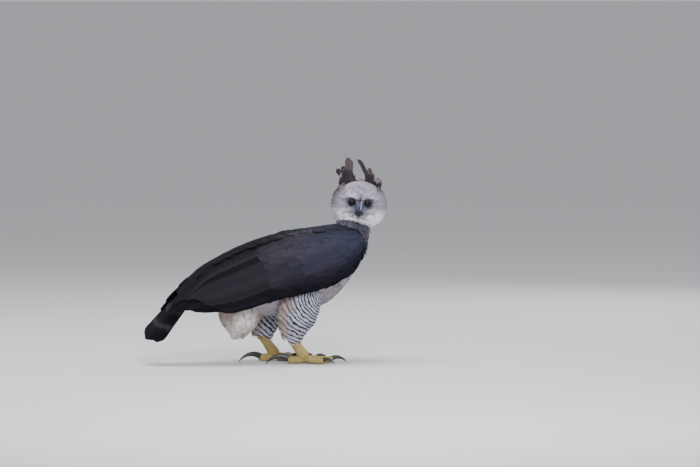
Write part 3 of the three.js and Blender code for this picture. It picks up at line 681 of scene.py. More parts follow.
def leg_material():
    """Yellow scaled skin, darker and greyer in the furrows."""
    g = Graph("leg_skin", Specular_IOR_Level=0.35)
    scale = g.node("ShaderNodeTexVoronoi", g.place(), feature="DISTANCE_TO_EDGE")
    scale.inputs["Scale"].default_value = 330.0
    furrow = g.step(Value(g, scale.outputs["Distance"]), 0.02, 0.12)
    patch = g.noise(60.0)
    height = (furrow * 0.5 + 0.5) * g.step(g.attribute("raised"), 0.2, 0.7)
    # The furrows and the low skin between plates take the darker, greyer colours.
    g.colour(g.mix(height, g.mix(patch, *FURROW_TONES), g.mix(patch, *YELLOW)))
    g.roughness(patch * 0.2 + 0.45)
    g.bump(furrow + g.noise(900.0) * 0.4, 0.0005)
    return g.material


# Meshes.


def write_values(mesh, values):
    """Named numbers or vectors for each point of a mesh, or colours, if their name is tone."""
    for key, numbers in values.items():
        numbers = np.asarray(numbers, np.float32)
        kind, field = ("FLOAT_VECTOR", "vector") if numbers.ndim == 2 else ("FLOAT", "value")
        if key == "tone":
            kind, field = "FLOAT_COLOR", "color"
            numbers = np.column_stack([numbers, np.ones(len(numbers), np.float32)])
        mesh.attributes.new(key, kind, "POINT").data.foreach_set(field, numbers.ravel())


def make_object(name, points, faces, material, values=None, uv=None, sharp=None):
    """A mesh object from points in millimetres. values holds named numbers for each point, uv a place
    for each point in the map OFBake, and sharp says which points lie on a vane's edge."""
    mesh = bpy.data.meshes.new(name)
    mesh.from_pydata(to_frame(points).tolist(), [], faces)
    mesh.shade_smooth()
    write_values(mesh, values or {})
    if uv is not None:
        corners = np.zeros(len(mesh.loops), int)
        mesh.loops.foreach_get("vertex_index", corners)
        layer = mesh.uv_layers.new(name="OFBake")
        layer.data.foreach_set("uv", uv[corners].astype(np.float32).ravel())
    if sharp is not None:
        ends = np.zeros(len(mesh.edges) * 2, int)
        mesh.edges.foreach_get("vertices", ends)
        flags = sharp[ends.reshape(-1, 2)].all(1)
        mesh.attributes.new("sharp_edge", "BOOLEAN", "EDGE").data.foreach_set("value", flags)
    mesh.materials.append(material)
    obj = bpy.data.objects.new(name, mesh)
    bpy.context.scene.collection.objects.link(obj)
    return obj


def body_object(name, bodies, material, values=None):
    """One mesh object of several closed bodies, each its points and faces."""
    faces, start = [], 0
    for points, theirs, *_ in bodies:
        faces += [[start + i for i in face] for face in theirs]
        start += len(points)
    return make_object(name, np.vstack([body[0] for body in bodies]), faces, material, values)


def put(obj, slot, *nodes):
    """The piece rides with the bird and stands for some solids, which it hides. slot is not used."""
    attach(obj, "root")
    if nodes:
        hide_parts(*nodes)


def raised(surface, u, v, height):
    """The surface's points with their heights over it, a number or an array."""
    points, _, _, normal = surface.frame(u, v)
    return (points + normal * np.broadcast_to(height, u.shape)[..., None]).reshape(-1, 3)


def closed_grid(surface, rings, sides, grow=0.0, ends=(0, 1)):
    """The points, faces and places (u, v) of a closed body over a surface whose v goes all the way
    round. grow is its height over the surface, or a function of the place that gives it."""
    u, v = np.meshgrid(np.linspace(*ends, rings + 1), np.arange(sides) / sides, indexing="ij")
    points = raised(surface, u, v, grow(u, v) if callable(grow) else grow)
    caps = [points[:sides].mean(0), points[-sides:].mean(0)]
    start = np.arange(rings)[:, None] * sides
    k = np.arange(sides)
    turn = (k + 1) % sides
    a, b = (start + k).ravel(), (start + turn).ravel()
    walls = stack(a, b, b + sides, a + sides)
    near = stack(len(points), turn, k)
    far = stack(len(points) + 1, rings * sides + k, rings * sides + turn)
    faces = walls.tolist() + near.tolist() + far.tolist()
    if surface.facing < 0:
        faces = [face[::-1] for face in faces]
    places = np.vstack([stack(u.ravel(), v.ravel()), [ends[0], 0], [ends[1], 0]])
    return np.vstack([points, caps]), faces, places


def patch_body(surface, across, along, high, low, rows=40, columns=20):
    """A closed plate over a patch of a surface, between two heights. low may be a function of the share
    of the way across."""
    u, v = np.meshgrid(np.linspace(*along, rows), np.linspace(*across, columns), indexing="ij")
    share = (v - across[0]) / (across[1] - across[0])
    top = raised(surface, u, v, high)
    under = raised(surface, u, v, low(share) if callable(low) else low)
    grid = np.arange(rows * columns).reshape(rows, columns)
    up = quads_of(grid)
    rim = np.concatenate([grid[0], grid[1:, -1], grid[-1, -2::-1], grid[-2:0:-1, 0]])
    turn = np.roll(rim, -1)
    below = rows * columns
    wall = np.column_stack([turn, rim, rim + below, turn + below])
    faces = np.vstack([up, up[:, ::-1] + below, wall])
    if surface.facing > 0:
        faces = faces[:, ::-1]
    return np.vstack([top, under]), faces.tolist()


def remeshed(obj, voxel, rounds):
    """The object's bodies made one, by voxels, and smoothed."""
    remesh = obj.modifiers.new("remesh", "REMESH")
    remesh.mode = "VOXEL"
    remesh.voxel_size = voxel
    remesh.use_smooth_shade = True
    soften = obj.modifiers.new("soften", "SMOOTH")
    soften.iterations = rounds
    graph = bpy.context.evaluated_depsgraph_get()
    mesh = bpy.data.meshes.new_from_object(obj.evaluated_get(graph))
    obj.modifiers.clear()
    obj.data = mesh
    mesh.shade_smooth()
    return obj


def points_of(obj):
    """A mesh's points in the bird's millimetres."""
    co = np.zeros(len(obj.data.vertices) * 3)
    obj.data.vertices.foreach_get("co", co)
    return (co.reshape(-1, 3) - SHIFT) / MM


# Coats.

# The size of a feather on the OFBake map, and the samples of a row of roots.
BAKE_PATCH = 0.003
ROW_SAMPLES = 97
# How far along it a feather has risen from its root to the height of its middle, and its raised shaft,
# for the vane's thickness and half width.
RISEN = 0.45
SHAFT = {"high": 0.25, "wide": 0.18}
SEEDS = {"face": 11, "ruff": 12, "crest": 13, "jaw": 14, "neck": 21, "back": 22, "breast": 23, "vent": 24}
SEEDS.update({"wing": 31, "tail": 41, "trousers": 51})
# What a feather's points hold for its material: its own colour; its place across and along the vane with
# a number of the feather's own; the length along its barbs; and how strongly it is barred.
VALUES = ("tone", "vane", "barb", "barred")


class Kind:
    """A kind of feather: rows and columns of its mesh, and its outline. base is its width at the root,
    full where it is widest, blunt where its tip begins to round off and power how blunt it is."""

    def __init__(self, rows, columns, base, full, blunt, power, shaft=0.0, crowd=1.4):
        self.stations = t = 1 - (1 - np.linspace(0, 1, rows)) ** crowd
        self.across = np.linspace(-1, 1, columns)
        self.shaft = shaft
        swell = base + (1 - base) * np.sin(np.clip(t / full, 0, 1) * math.pi / 2)
        end = np.clip((t - blunt) / (1 - blunt), 0, 1)
        self.wide = np.maximum(swell * (1 - end**power) ** (1 / power), 0.07)
        self.sides = np.abs(self.across) > 0.99
        self.edge = self.sides | (t[:, None] <= 0) | (t[:, None] >= 1)
        # Both sides of the vane share the points of its edge.
        upper = np.arange(rows * columns).reshape(rows, columns)
        lower = upper.copy()
        lower[1:-1, 1:-1] = rows * columns + np.arange((rows - 2) * (columns - 2)).reshape(rows - 2, -1)
        self.quads = np.vstack([quads_of(upper)[:, ::-1], np.roll(quads_of(lower), -1, axis=1)])
        self.size = lower.max() + 1


FLIGHT = Kind(22, 7, 0.6, 0.4, 0.86, 2.0, shaft=-0.3)
COVERT = Kind(9, 5, 0.55, 0.5, 0.66, 2.2)
CONTOUR = Kind(7, 5, 0.5, 0.5, 0.55, 2.0)
TUFT = Kind(6, 3, 0.5, 0.45, 0.3, 1.5)
PLUME = Kind(18, 7, 0.35, 0.75, 0.86, 2.0, crowd=1.8)
RECTRIX = Kind(20, 7, 0.6, 0.5, 0.93, 2.2, crowd=1.8)


def vanes(
    surface, kind, root, tip, width, lift, tone, rng, roll=0.0, camber=0.10, thick=0.5, ragged=0.04,
    tip_tone=None, barred=0.0, bands=None, home=(0.0, 1.0), uneven_tone=0.10,
):
    """Feathers laid along a surface from their roots to their tips, both places (u, v). lift holds the
    heights of root, middle and tip over the surface. bands holds the colour, count and share of cross
    bands, and home their part of the OFBake map."""
    t, s = kind.stations, kind.across
    full = count, rows, columns = len(root), len(t), len(s)
    width = np.broadcast_to(width, count)
    low, middle, high = np.broadcast_to(lift, (count, 3)).T[..., None]
    heading = tip - root
    centre = root[:, None] + heading[:, None] * t[None, :, None]
    here = surface.frame(centre[..., 0], centre[..., 1])
    _, tangent_u, tangent_v, normal = here
    ahead = tangent_u * heading[:, None, :1] + tangent_v * heading[:, None, 1:]
    length = np.linalg.norm(ahead, axis=-1).mean(1)
    step = surface.chart(here, unit(np.cross(normal, ahead)))
    half = width[:, None] / 2 * kind.wide
    offset = half[..., None] * s * (1 + ragged * rng.standard_normal(full) * kind.sides)
    place = centre[:, :, None] + offset[..., None] * step[:, :, None]
    point, _, _, out = surface.frame(place[..., 0], place[..., 1])
    rise = np.sin(np.clip(t / RISEN, 0, 1) * math.pi / 2)
    height = low + (middle - low) * rise + (high - middle) * t**2
    from_shaft = np.abs(s - kind.shaft) / (1 + np.abs(kind.shaft))
    roll = np.broadcast_to(roll, count)[:, None, None]
    level = height[..., None] + roll * offset * surface.facing - camber * half[..., None] * from_shaft**2
    inner = (1 - np.abs(s) ** 2) * thick / 2 + SHAFT["high"] * thick * bell(from_shaft, SHAFT["wide"])
    body = np.where(kind.edge, 0.0, inner)
    top = point + out * (level + body)[..., None]
    under = point + out * (level - np.minimum(body, thick / 2))[..., None]

    def gather(over, beneath=None):
        """Values of the upper side's points, then of the lower side's, the same if none are given."""
        beneath = over if beneath is None else beneath
        over = over.reshape(count, rows * columns, -1)
        beneath = beneath[:, 1:-1, 1:-1].reshape(count, kind.size - rows * columns, -1)
        return np.concatenate([over, beneath], 1).reshape(count * kind.size, -1)

    s_all, t_all = np.broadcast_to(s, full), np.broadcast_to(t[:, None], full)
    chance = rng.random(count)[:, None, None]
    barb = t_all * length[:, None, None] + 0.8 * np.abs(offset)
    ends = tone if tip_tone is None else tip_tone
    brightness = (1 + uneven_tone * rng.standard_normal(count))[:, None]
    share = smooth(0.35, 0.8, t)[None, :, None]
    shade = (tone * brightness)[:, None] * (1 - share) + (ends * brightness)[:, None] * share
    if bands:
        colour, number, part = bands
        band = smooth(1 - 2 * part, 1 - 2 * part + 0.6, np.sin(TURN * (number * t + 0.1)))
        shade = shade + (np.array(colour) - shade) * band[None, :, None]
    at_u, at_v = (at[:, None, None] for at in surface.unwrap(root, home))
    uv = stack(at_u + BAKE_PATCH * (t_all - 0.5), at_v + BAKE_PATCH * s_all / 2)
    barred = np.broadcast_to(np.broadcast_to(barred, count)[:, None, None], full)
    return {
        "points": gather(top, under),
        "quads": (np.arange(count)[:, None, None] * kind.size + kind.quads).reshape(-1, 4),
        "tone": np.clip(gather(np.broadcast_to(shade[:, :, None], (*full, 3))), 0, 1),
        "vane": gather(stack(s_all, t_all, chance)),
        "barb": gather(barb * MM)[:, 0],
        "barred": gather(barred)[:, 0],
        "uv": gather(uv),
        "edge": gather(np.broadcast_to(kind.edge, full))[:, 0],
    }


def coat_object(name, groups, material):
    """One piece of several lots of feathers."""
    starts = np.cumsum([0] + [len(group["points"]) for group in groups])
    quads = np.vstack([group["quads"] + start for group, start in zip(groups, starts)])
    points, uv, edge, *values = (
        np.concatenate([group[key] for group in groups]) for key in ("points", "uv", "edge", *VALUES)
    )
    return make_object(name, points, quads.tolist(), material, dict(zip(VALUES, values)), uv, edge)


def tiers(surface, reach, span, spacing, rng, jitter, closed=False):
    """Roots in staggered rows along u. spacing is how far they are apart along and across, in
    millimetres, or a function of u that gives it."""
    lots = []
    u, row = reach[0], 0
    sign = 1 if reach[1] > reach[0] else -1
    v = np.linspace(*span, ROW_SAMPLES)
    while (reach[1] - u) * sign > 0:
        along, across = spacing(u) if callable(spacing) else spacing
        line = surface.at(np.full(ROW_SAMPLES, u), v)
        run = np.concatenate([[0], np.cumsum(np.linalg.norm(np.diff(line, axis=0), axis=1))])
        count = max(int(round(run[-1] / across)), 1)
        offset = 0.5 * (row % 2) if closed else 0.25 * (row % 2 * 2 - 1)
        place = (np.arange(count) + 0.5 + offset + jitter * rng.standard_normal(count)) / count
        place = place % 1 if closed else np.clip(place, 0.005, 0.995)
        root_v = np.interp(place * run[-1], run, v)
        pace = np.linalg.norm(surface.frame(np.full(count, u), root_v)[1], axis=1)
        lots.append(stack(u + jitter * rng.standard_normal(count) * along / pace, root_v))
        u += sign * along / np.median(pace)
        row += 1
    return np.vstack(lots)


def reach_along(surface, root, length, lie, rng, stray):
    """The tips of feathers of some length that follow lie, a direction in space for each, along the
    surface, with some stray in degrees."""
    here = surface.frame(*root.T)
    normal = here[3]
    lie = np.broadcast_to(lie, normal.shape)
    flat = unit(lie - normal * (lie * normal).sum(-1, keepdims=True))
    angle = (rng.standard_normal(len(root)) * stray * DEGREE)[:, None]
    flat = flat * np.cos(angle) + np.cross(normal, flat) * np.sin(angle)
    return root + surface.chart(here, flat * length[:, None])


def along_chart(surface, root, sign):
    """The direction in which u grows, or shrinks for sign -1."""
    return unit(surface.frame(*root.T)[1]) * sign


# Markings, the same for skin and coat, with painted light and shade on the face.

# The border between slate and pale follows the wings' lower edges a little above them, up to a height.
BELLY_LINE = sorted([row[3], row[5]] for row in WING[2:])
BELLY_RISE, BELLY_TOP = 8, 286


def body_marks(points):
    """The body's colours: slate above the wings' lower edges and on the breast, white or buff below."""
    x, y, z = points.T
    border = np.minimum(np.interp(x, *np.array(BELLY_LINE).T) + BELLY_RISE, BELLY_TOP)
    wobble = 3 * np.sin(x / 9.0) * np.sin(y / 7.0)
    pale = 1 - smooth(-5, 5, z - border + wobble)
    front = smooth(60, 190, x)
    slate = mix(SLATE, SLATE_BLUE_AND_SHEEN, 0.8 * front)
    stain = 0.5 + 0.5 * np.sin(x / 31.0 + 1.3) * np.cos(y / 23.0 + z / 37.0)
    brown = 0.5 * smooth(165, 120, x) * smooth(20, 70, x) + 0.5 * stain * smooth(90, -120, x)
    under = mix(COOL_WHITE, BUFF, np.clip(0.1 + brown, 0, 1))
    return mix(slate, under, pale)


def head_marks(local):
    """The head's colours at points on the head: pale face, darker crown and nape, brown rim. The paints
    go on one over another, each with its share at every point."""
    x, y, z = local.T
    side = np.abs(y)
    # lower pales the lower cheeks and the head's underside: partly the face's paler feathers, partly
    # painted light that lifts the downward-facing lower face out of its shade.
    lower = smooth(-14, -36, z) * smooth(14, 26, side) + smooth(-54, -64, z)
    # brow pales a band along the brow ridges: partly their pale feathers, partly painted light on the
    # ridges' lit tops, and so it is stronger on the bird's right than its left.
    brow = bell(z, 6, 19) * smooth(8, 14, side) * smooth(46, 34, side) * smooth(5, 20, x)
    rim = smooth(53, 64, side) * smooth(30, 16, x)
    corner = smooth(36, 50, side) * smooth(16, 40, z) * smooth(24, 6, x)
    eye = np.linalg.norm(np.stack([x - EYE["x"] - 8, side - EYE["y"] - 2, z - EYE["z"]], -1), axis=-1)
    line = bell(z - 2 - 0.1 * (side - 30), 3.0) * smooth(30, 36, side) * smooth(62, 44, side)
    # A dark streak down the middle between the eyes is painted shade, the shaded side of the furrow over
    # the culmen; root darkens a band across the top of the bill's base.
    painted_furrow_shade = bell(y, 2.4, 1) * smooth(22, 16, z) * smooth(0, 6, z)
    root = bell(z, 3.4, 6) * smooth(22, 16, side)
    lore = smooth(27, 17, side) * smooth(4, -3, z) * smooth(-27, -20, z) * smooth(28, 36, x)
    mouth = bell(z + 26.5 + 0.1 * side, 4.0) * smooth(50, 36, side) * smooth(20, 30, x)
    # A darker patch on the chin below the bill is painted shade, the shadow under the bill.
    painted_shade_under_bill = bell(z, 6.0, -48) * smooth(16, 6, side) * smooth(10, 24, x)
    colour = np.broadcast_to(np.array(FACE, float), (len(local), 3))
    for paint, share in [
        (FACE_PALE, np.clip(lower, 0, 1) * smooth(-30, 5, x)),
        (FACE_PALE, (0.30 - 0.08 * np.sign(y)) * brow),
        (FACE_RIM, rim * (0.5 - 0.25 * np.sign(y)) * smooth(-40, 0, z)),
        (NAPE, 0.30 * smooth(26, 50, z)),
        (CROWN, 0.85 * corner),
        (NAPE, smooth(-22, -58, x)),
        (FACE_DARK, 0.8 * smooth(16.5, 12.5, eye)),
        (FACE_DARK, 0.55 * line * smooth(0, 15, x)),
        (FACE_DARK, np.clip(0.8 * painted_furrow_shade + 0.6 * root, 0, 1) * smooth(24, 32, x)),
        (LORE, 0.66 * lore),
        (LORE, 0.72 * mouth),
        (LORE, 0.60 * painted_shade_under_bill),
    ]:
        colour = mix(colour, paint, share)
    return colour


def marks(points):
    """The bird's colours at any of its points."""
    local = off_head(points)
    shell = np.linalg.norm((local - HEAD_SHELL["centre"]) / HEAD_SHELL["radii"], axis=-1)
    near = smooth(1.06, 0.99, shell) * smooth(*HEAD_SHELL["bottom"], local[:, 2])
    return mix(body_marks(points), head_marks(local), near)


# The skin.

# How far the skin lies under each surface, so that the coat has room over it, and the size of the voxels
# that melt its bodies into one, with the rounds of smoothing after that.
COAT_DEPTH = {"torso": 9.0, "neck": 9.0, "skull": 4.0, "thigh": 9.0, "wing": 5.0}
VOXEL, SOFTENING = 0.0032, 8


def make_skin():
    def neck_depth(u, v):
        return -COAT_DEPTH["neck"] - 8 * smooth(0.3, 0.9, u)

    def wing_depth(share):
        return -9 - 20 * np.minimum(6 * np.minimum(share, 1 - share), 1)

    bodies = [
        closed_grid(torso_surface, 60, 48, -COAT_DEPTH["torso"]),
        closed_grid(neck_surface, 30, 40, neck_depth, (-0.1, 0.95)),
        closed_grid(skull_surface, 70, 72, -COAT_DEPTH["skull"]),
        patch_body(back_surface, (-0.9, 0.9), (0.1, 0.94), -6, -30),
        patch_body(tail_surface, (-0.85, 0.85), (0.20, 0.36), -6, -16),
        closed_grid(vent_surface, 20, 30, -8, (0, 0.85)),
    ]
    for name, side in SIDES:
        wing = wing_surface(side)
        bodies.append(closed_grid(thighs[name], 30, 36, -COAT_DEPTH["thigh"], (0, 0.97)))
        bodies.append(patch_body(wing, (0.03, 0.97), (0.02, 0.66), -COAT_DEPTH["wing"], wing_depth))
    skin = remeshed(body_object("skin", bodies, skin_material()), VOXEL, SOFTENING)
    write_values(skin.data, {"tone": marks(points_of(skin))})
    put(skin, "body_feathers", "torso", "neck", "head", "thigh_right", "thigh_left")


# The head's coat.


def eye_distance(points):
    """How far points on the head are from the nearer eye's axis of sight, and how far ahead of it."""
    out = EYE["outward"] * DEGREE
    look = np.array([math.cos(out), math.sin(out), 0.0])
    away = folded(points) - [EYE["x"], EYE["y"], EYE["z"]]
    return np.linalg.norm(away - (away @ look)[:, None] * look, axis=-1), away @ look


def make_face():
    rng = np.random.default_rng(SEEDS["face"])

    def spacing(u):
        wide = smooth(0.62, 0.2, u)
        return 3.6 + 5.9 * wide, 2.8 + 4.2 * wide

    root = tiers(skull_surface, (0.985, 0.03), (0, 1), spacing, rng, closed=True, jitter=0.3)
    local = off_head(skull_surface.at(*root.T))
    from_axis, ahead = eye_distance(local)
    x, y, z = local.T
    bill = (x > BILL_BOX["from"]) & (np.abs(y) < BILL_BOX["half"])
    bill = bill & (z < BILL_BOX["top"]) & (z > BILL_BOX["bottom"])
    keep = ((from_axis > 12.0 - 2.2 * smooth(4, 10, z)) | (ahead < 0)) & ~bill
    root, local, from_axis = root[keep], local[keep], from_axis[keep]
    x, y, z = local.T
    face = smooth(0.45, 0.75, root[:, 0])
    near_eye = smooth(26, 13, from_axis) * (x > 0)
    length = (23 - 13.5 * face) * (1 - 0.4 * near_eye) * (1 + 0.12 * rng.standard_normal(len(root)))
    width = (12.5 - 7.5 * face) * (1 - 0.25 * near_eye)
    away = stack(0, y - np.sign(y) * EYE["y"], z)
    lie = along_chart(skull_surface, root, -1) + 0.9 * near_eye[:, None] * unit(away) @ head_matrix.T
    tip = reach_along(skull_surface, root, length, lie, rng, 9)
    ripple = 0.5 + 0.5 * np.sin(z / 2.6 + 2.2 * np.sin(y / 9.0))
    cloud = np.sin(y / 7.0 + 1.0) * np.sin(z / 5.0 + 0.06 * y)
    streak = 1 - 0.32 * (rng.random(len(root)) < 0.32) * ripple - 0.12 * ripple - 0.10 * cloud
    tone = head_marks(local) * streak[:, None]
    lift = stack(-4.2, -0.8 - 1.6 * near_eye, 0.5 + 0.8 * (1 - face) - 1.6 * near_eye)
    looks = {"tip_tone": tone * 1.12, "uneven_tone": 0.05}
    return [vanes(skull_surface, TUFT, root, tip, width, lift, tone, rng, **looks)]


def make_jaw():
    """Pale feathers from the jaw down over the top of the neck."""
    rng = np.random.default_rng(SEEDS["jaw"])
    root = tiers(neck_surface, (1.10, 0.66), (0, 1), (3.2, 4.2), rng, closed=True, jitter=0.35)
    lie = along_chart(neck_surface, root, -1)
    tip = reach_along(neck_surface, root, 13 * (1 + 0.08 * rng.standard_normal(len(root))), lie, rng, 10)
    front = smooth(-30, 30, off_head(neck_surface.at(*root.T))[:, 0])
    last = smooth(0.74, 0.66, root[:, 0])
    tone = mix(NAPE, FACE_PALE, front * (1 - 0.6 * last))
    lift = stack(-7, -1, 4.0 - 3.0 * last)
    return [vanes(neck_surface, TUFT, root, tip, 5.5, lift, tone, rng, camber=0.12, uneven_tone=0.05)]


# Tiers of the ruff: the roots' u, length and how far the tips stand out.
RUFF = [(0.70, 19, 4.0), (0.64, 22, 8.0), (0.57, 25, 11.0), (0.49, 26, 11.5), (0.41, 26, 8.0)]
# How many feathers a tier has on each side, from the crown to the chin.
RUFF_COUNT, RUFF_SPAN = 58, (0.115, 0.45)


def make_ruff():
    """Longer feathers that frame the face, standing a little out from its edge and down at the jowls."""
    rng = np.random.default_rng(SEEDS["ruff"])
    lots = []
    for side in (1, -1):
        for tier, (start, reach, high) in enumerate(RUFF):
            around = np.linspace(*RUFF_SPAN, RUFF_COUNT) + 0.003 * rng.standard_normal(RUFF_COUNT)
            root = stack(start + 0.012 * rng.standard_normal(RUFF_COUNT), side * around)
            jowl = smooth(0.26, 0.36, around)
            down = np.array([0.0, 0.0, -1.0]) * jowl[:, None]
            lie = along_chart(skull_surface, root, -1) * (1 - 0.45 * jowl[:, None]) + down
            length = reach * (1 + (0.15 - 0.15 * side) * jowl)
            length = length * (1 + 0.13 * rng.standard_normal(RUFF_COUNT))
            tip = reach_along(skull_surface, root, length, lie, rng, 5)
            local = off_head(skull_surface.at(*root.T))
            brown = (0.20 + 0.12 * tier) * (0.8 - 0.2 * side) * smooth(-30, 10, local[:, 2])
            tone = mix(head_marks(local), FACE_RIM, np.clip(brown, 0, 1))
            corner = smooth(24, 40, np.abs(local[:, 1])) * smooth(15 * side - 7, 27 + 7 * side, local[:, 2])
            tone = mix(tone, CROWN, corner * min(0.3 + 0.3 * tier, 0.9))
            stand = high * (0.85 - 0.15 * side) * (1 + (0.2 - 0.2 * side) * jowl)
            stand = stand * (1 - 0.35 * rng.random(RUFF_COUNT) ** 2)
            lift = stack(-4, 0.15 * high, stand)
            looks = {"tip_tone": tone * 0.93, "roll": 0.1 * side, "uneven_tone": 0.07}
            lots.append(vanes(skull_surface, CONTOUR, root, tip, 7.6, lift, tone, rng, **looks))
    return lots


# Plumes of the crest: the root's v, the tip's u and v, width, how far forward, feathers and colour.
PLUMES = [
    [-0.95, 1.22, -1.06, 26, -8, 2, CREST_BROWN],
    [-0.98, 0.96, -0.88, 20, -6, 2, CREST_TALL],
    [-0.91, 1.12, -0.67, 26, -7, 4, CREST_TALL],
    [-0.05, 0.28, -0.05, 24, -2, 3, CREST_SIDE],
    [0.84, 1.00, -0.24, 14, -5, 2, CREST_BROWN],
    [0.52, 0.70, 0.42, 26, -8, 3, CREST_TALL],
    [0.70, 0.56, 0.66, 24, -7, 3, CREST_TALL],
    [0.90, 0.56, 1.02, 26, -6, 3, CREST_SIDE],
    [-0.92, 0.66, -1.10, 24, 0, 3, CREST_SIDE],
    [-0.96, 0.26, -1.12, 24, 4, 3, CREST_BROWN],
    [-1.06, 0.03, -1.42, 22, 10, 3, CREST_BROWN],
    [-0.88, 0.64, -0.755, 35, 7, 7, CREST_FRONT],
    [-0.70, 0.44, -0.62, 26, 5, 4, CREST_FRONT],
    [-0.46, 0.24, -0.48, 22, 3, 3, CREST_FRONT],
    [-0.20, 0.20, -0.24, 22, 2, 3, CREST_SIDE],
    [0.24, 0.24, 0.24, 22, 2, 3, CREST_SIDE],
    [0.64, 0.42, 0.42, 28, 7, 5, CREST_FRONT],
    [0.86, 0.26, 0.80, 24, 4, 3, CREST_FRONT],
    [0.98, 0.46, 1.14, 26, 2, 3, CREST_SIDE],
    [1.04, 0.04, 1.22, 22, 10, 3, CREST_BROWN],
]
# How much of a plume's lean its root, middle and tip have.
LEAN = (0.2, 0.5, 1.0)


def make_crest(material):
    rng = np.random.default_rng(SEEDS["crest"])
    half = (CREST["root_half"] + CREST["tip_half"]) / 2
    lots = []
    for root_v, tip_u, tip_v, width, forward, count, tone in PLUMES:
        place = np.linspace(-1, 1, count)
        spread = 0.20 * width / half
        root = stack(-0.12, root_v + 0.5 * spread * place)
        high = tip_u * (1 - 0.13 * place**2 + 0.02 * rng.standard_normal(count))
        tip = stack(high, tip_v + spread * place)
        lift = np.outer(forward + 1.2 * (rng.permutation(count) - count / 2), LEAN)
        looks = {"tip_tone": np.array(tone) * 0.8, "camber": 0.12, "ragged": 0.05}
        lots.append(vanes(crest_surface, PLUME, root, tip, 0.72 * width, lift, tone, rng, **looks))
    put(coat_object("crest_feathers", lots, material), "crest_feathers", "crest")


# Neck and body.


def make_neck():
    rng = np.random.default_rng(SEEDS["neck"])
    root = tiers(neck_surface, (0.62, 0.02), (0, 1), (8, 8), rng, closed=True, jitter=0.2)
    lie = along_chart(neck_surface, root, -1)
    tip = reach_along(neck_surface, root, 26 + 2 * rng.standard_normal(len(root)), lie, rng, 8)
    pale = smooth(0.0, 0.5, root[:, 0]) * (0.15 + 0.85 * rng.random(len(root)) ** 2)
    tone = mix(SLATE_BLUE_AND_SHEEN, NAPE, 0.95 * pale)
    return [vanes(neck_surface, CONTOUR, root, tip, 12, (-9, -2, 2.5), tone, rng, tip_tone=tone * 1.15)]


def make_back():
    rng = np.random.default_rng(SEEDS["back"])

    def spacing(u):
        return 19 - 5 * smooth(0.6, 1.0, u), 19 - 4 * smooth(0.6, 1.0, u)

    root = tiers(back_surface, (0.99, 0.05), (-1.0, 1.0), spacing, rng, jitter=0.1)
    u = root[:, 0]
    droop = smooth(0.30, 0.10, u)
    length = 52 - 16 * smooth(0.6, 1.0, u) - 14 * smooth(0.22, 0.05, u)
    length = length * (1 + 0.06 * rng.standard_normal(len(root)))
    tip = reach_along(back_surface, root, length, along_chart(back_surface, root, -1), rng, 4)
    # The back goes from blackish at the rump to slate blue at the shoulders: the blue is painted sheen.
    tone = mix(BLACK_AND_PAINTED_SHADE, SLATE_BLUE_AND_SHEEN, 0.65 * smooth(0.4, 0.95, u))
    lift = stack(-7, 0.5 - 0.5 * droop, 2.6 - 1.8 * droop)
    width = 30 - 8 * smooth(0.6, 1, u) - 6 * droop
    return [vanes(back_surface, COVERT, root, tip, width, lift, tone, rng)]


def make_breast():
    rng = np.random.default_rng(SEEDS["breast"])
    flank = tiers(torso_surface, (0.97, 0.03), (0.22, 0.78), (12, 12), rng, jitter=0.18)
    front = tiers(torso_surface, (0.96, 0.80), (-0.22, 0.22), (12, 12), rng, jitter=0.18)
    root = np.vstack([flank, front])
    points = torso_surface.at(*root.T)
    below = (np.abs(root[:, 1]) > 0.3)[:, None]
    down = smooth(0.8, 1.0, root[:, 0])[:, None]
    lie = np.where(below, np.array([-1.0, 0.0, -0.35]) - [0, 0, 1.1] * down, [-1.0, 0.0, 0.2])
    length = (34 + 8 * smooth(290, 250, points[:, 2])) * (1 + 0.1 * rng.standard_normal(len(root)))
    tip = reach_along(torso_surface, root, length, lie, rng, 9)
    tip[:, 0] = np.minimum(tip[:, 0], 1.0)
    tone = body_marks(points)
    looks = {"tip_tone": body_marks(torso_surface.at(*tip.T)), "camber": 0.06, "uneven_tone": 0.04}
    return [vanes(torso_surface, CONTOUR, root, tip, 19, (-8, -1.5, 1.5), tone, rng, **looks)]


def make_vent():
    """Loose pale feathers behind the legs, under the root of the tail."""
    rng = np.random.default_rng(SEEDS["vent"])
    root = tiers(vent_surface, (0.0, 0.88), (0, 1), (12, 12), rng, closed=True, jitter=0.3)
    length = 44 * (1 + 0.16 * rng.standard_normal(len(root)))
    tip = reach_along(vent_surface, root, length, np.array([-0.30, 0.0, -1.0]), rng, 12)
    x, _, z = vent_surface.at(*root.T).T
    stain = smooth(-0.5, 0.9, np.sin(x / 17.0 + 0.6) * np.cos(z / 29.0))
    tone = mix(WHITE, BUFF, 0.75 * stain)
    looks = {"tip_tone": tone * 1.08, "ragged": 0.12, "camber": 0.15}
    return [vanes(vent_surface, CONTOUR, root, tip, 16, (-8, -1, 6), tone, rng, **looks)]


# Wings.

# Long feathers of a wing: how many, the root and tip of the lowest, the steps to the next above it,
# width and lift.
LONG = {
    "primary": (9, (0.55, 0.86), (0.905, 0.90), (0.0, -0.058), (0.0115, -0.078), 26, (-8, -4.6, -4.0)),
    "secondary": (12, (0.46, 0.88), (0.76, 0.92), (0.004, -0.051), (0.015, -0.042), 26, (-8, -1.6, -1.2)),
    "tertial": (8, (0.50, 0.36), (0.910, 0.50), (0.0, -0.047), (0.0085, -0.053), 25, (-7, 0.6, 0.6)),
}


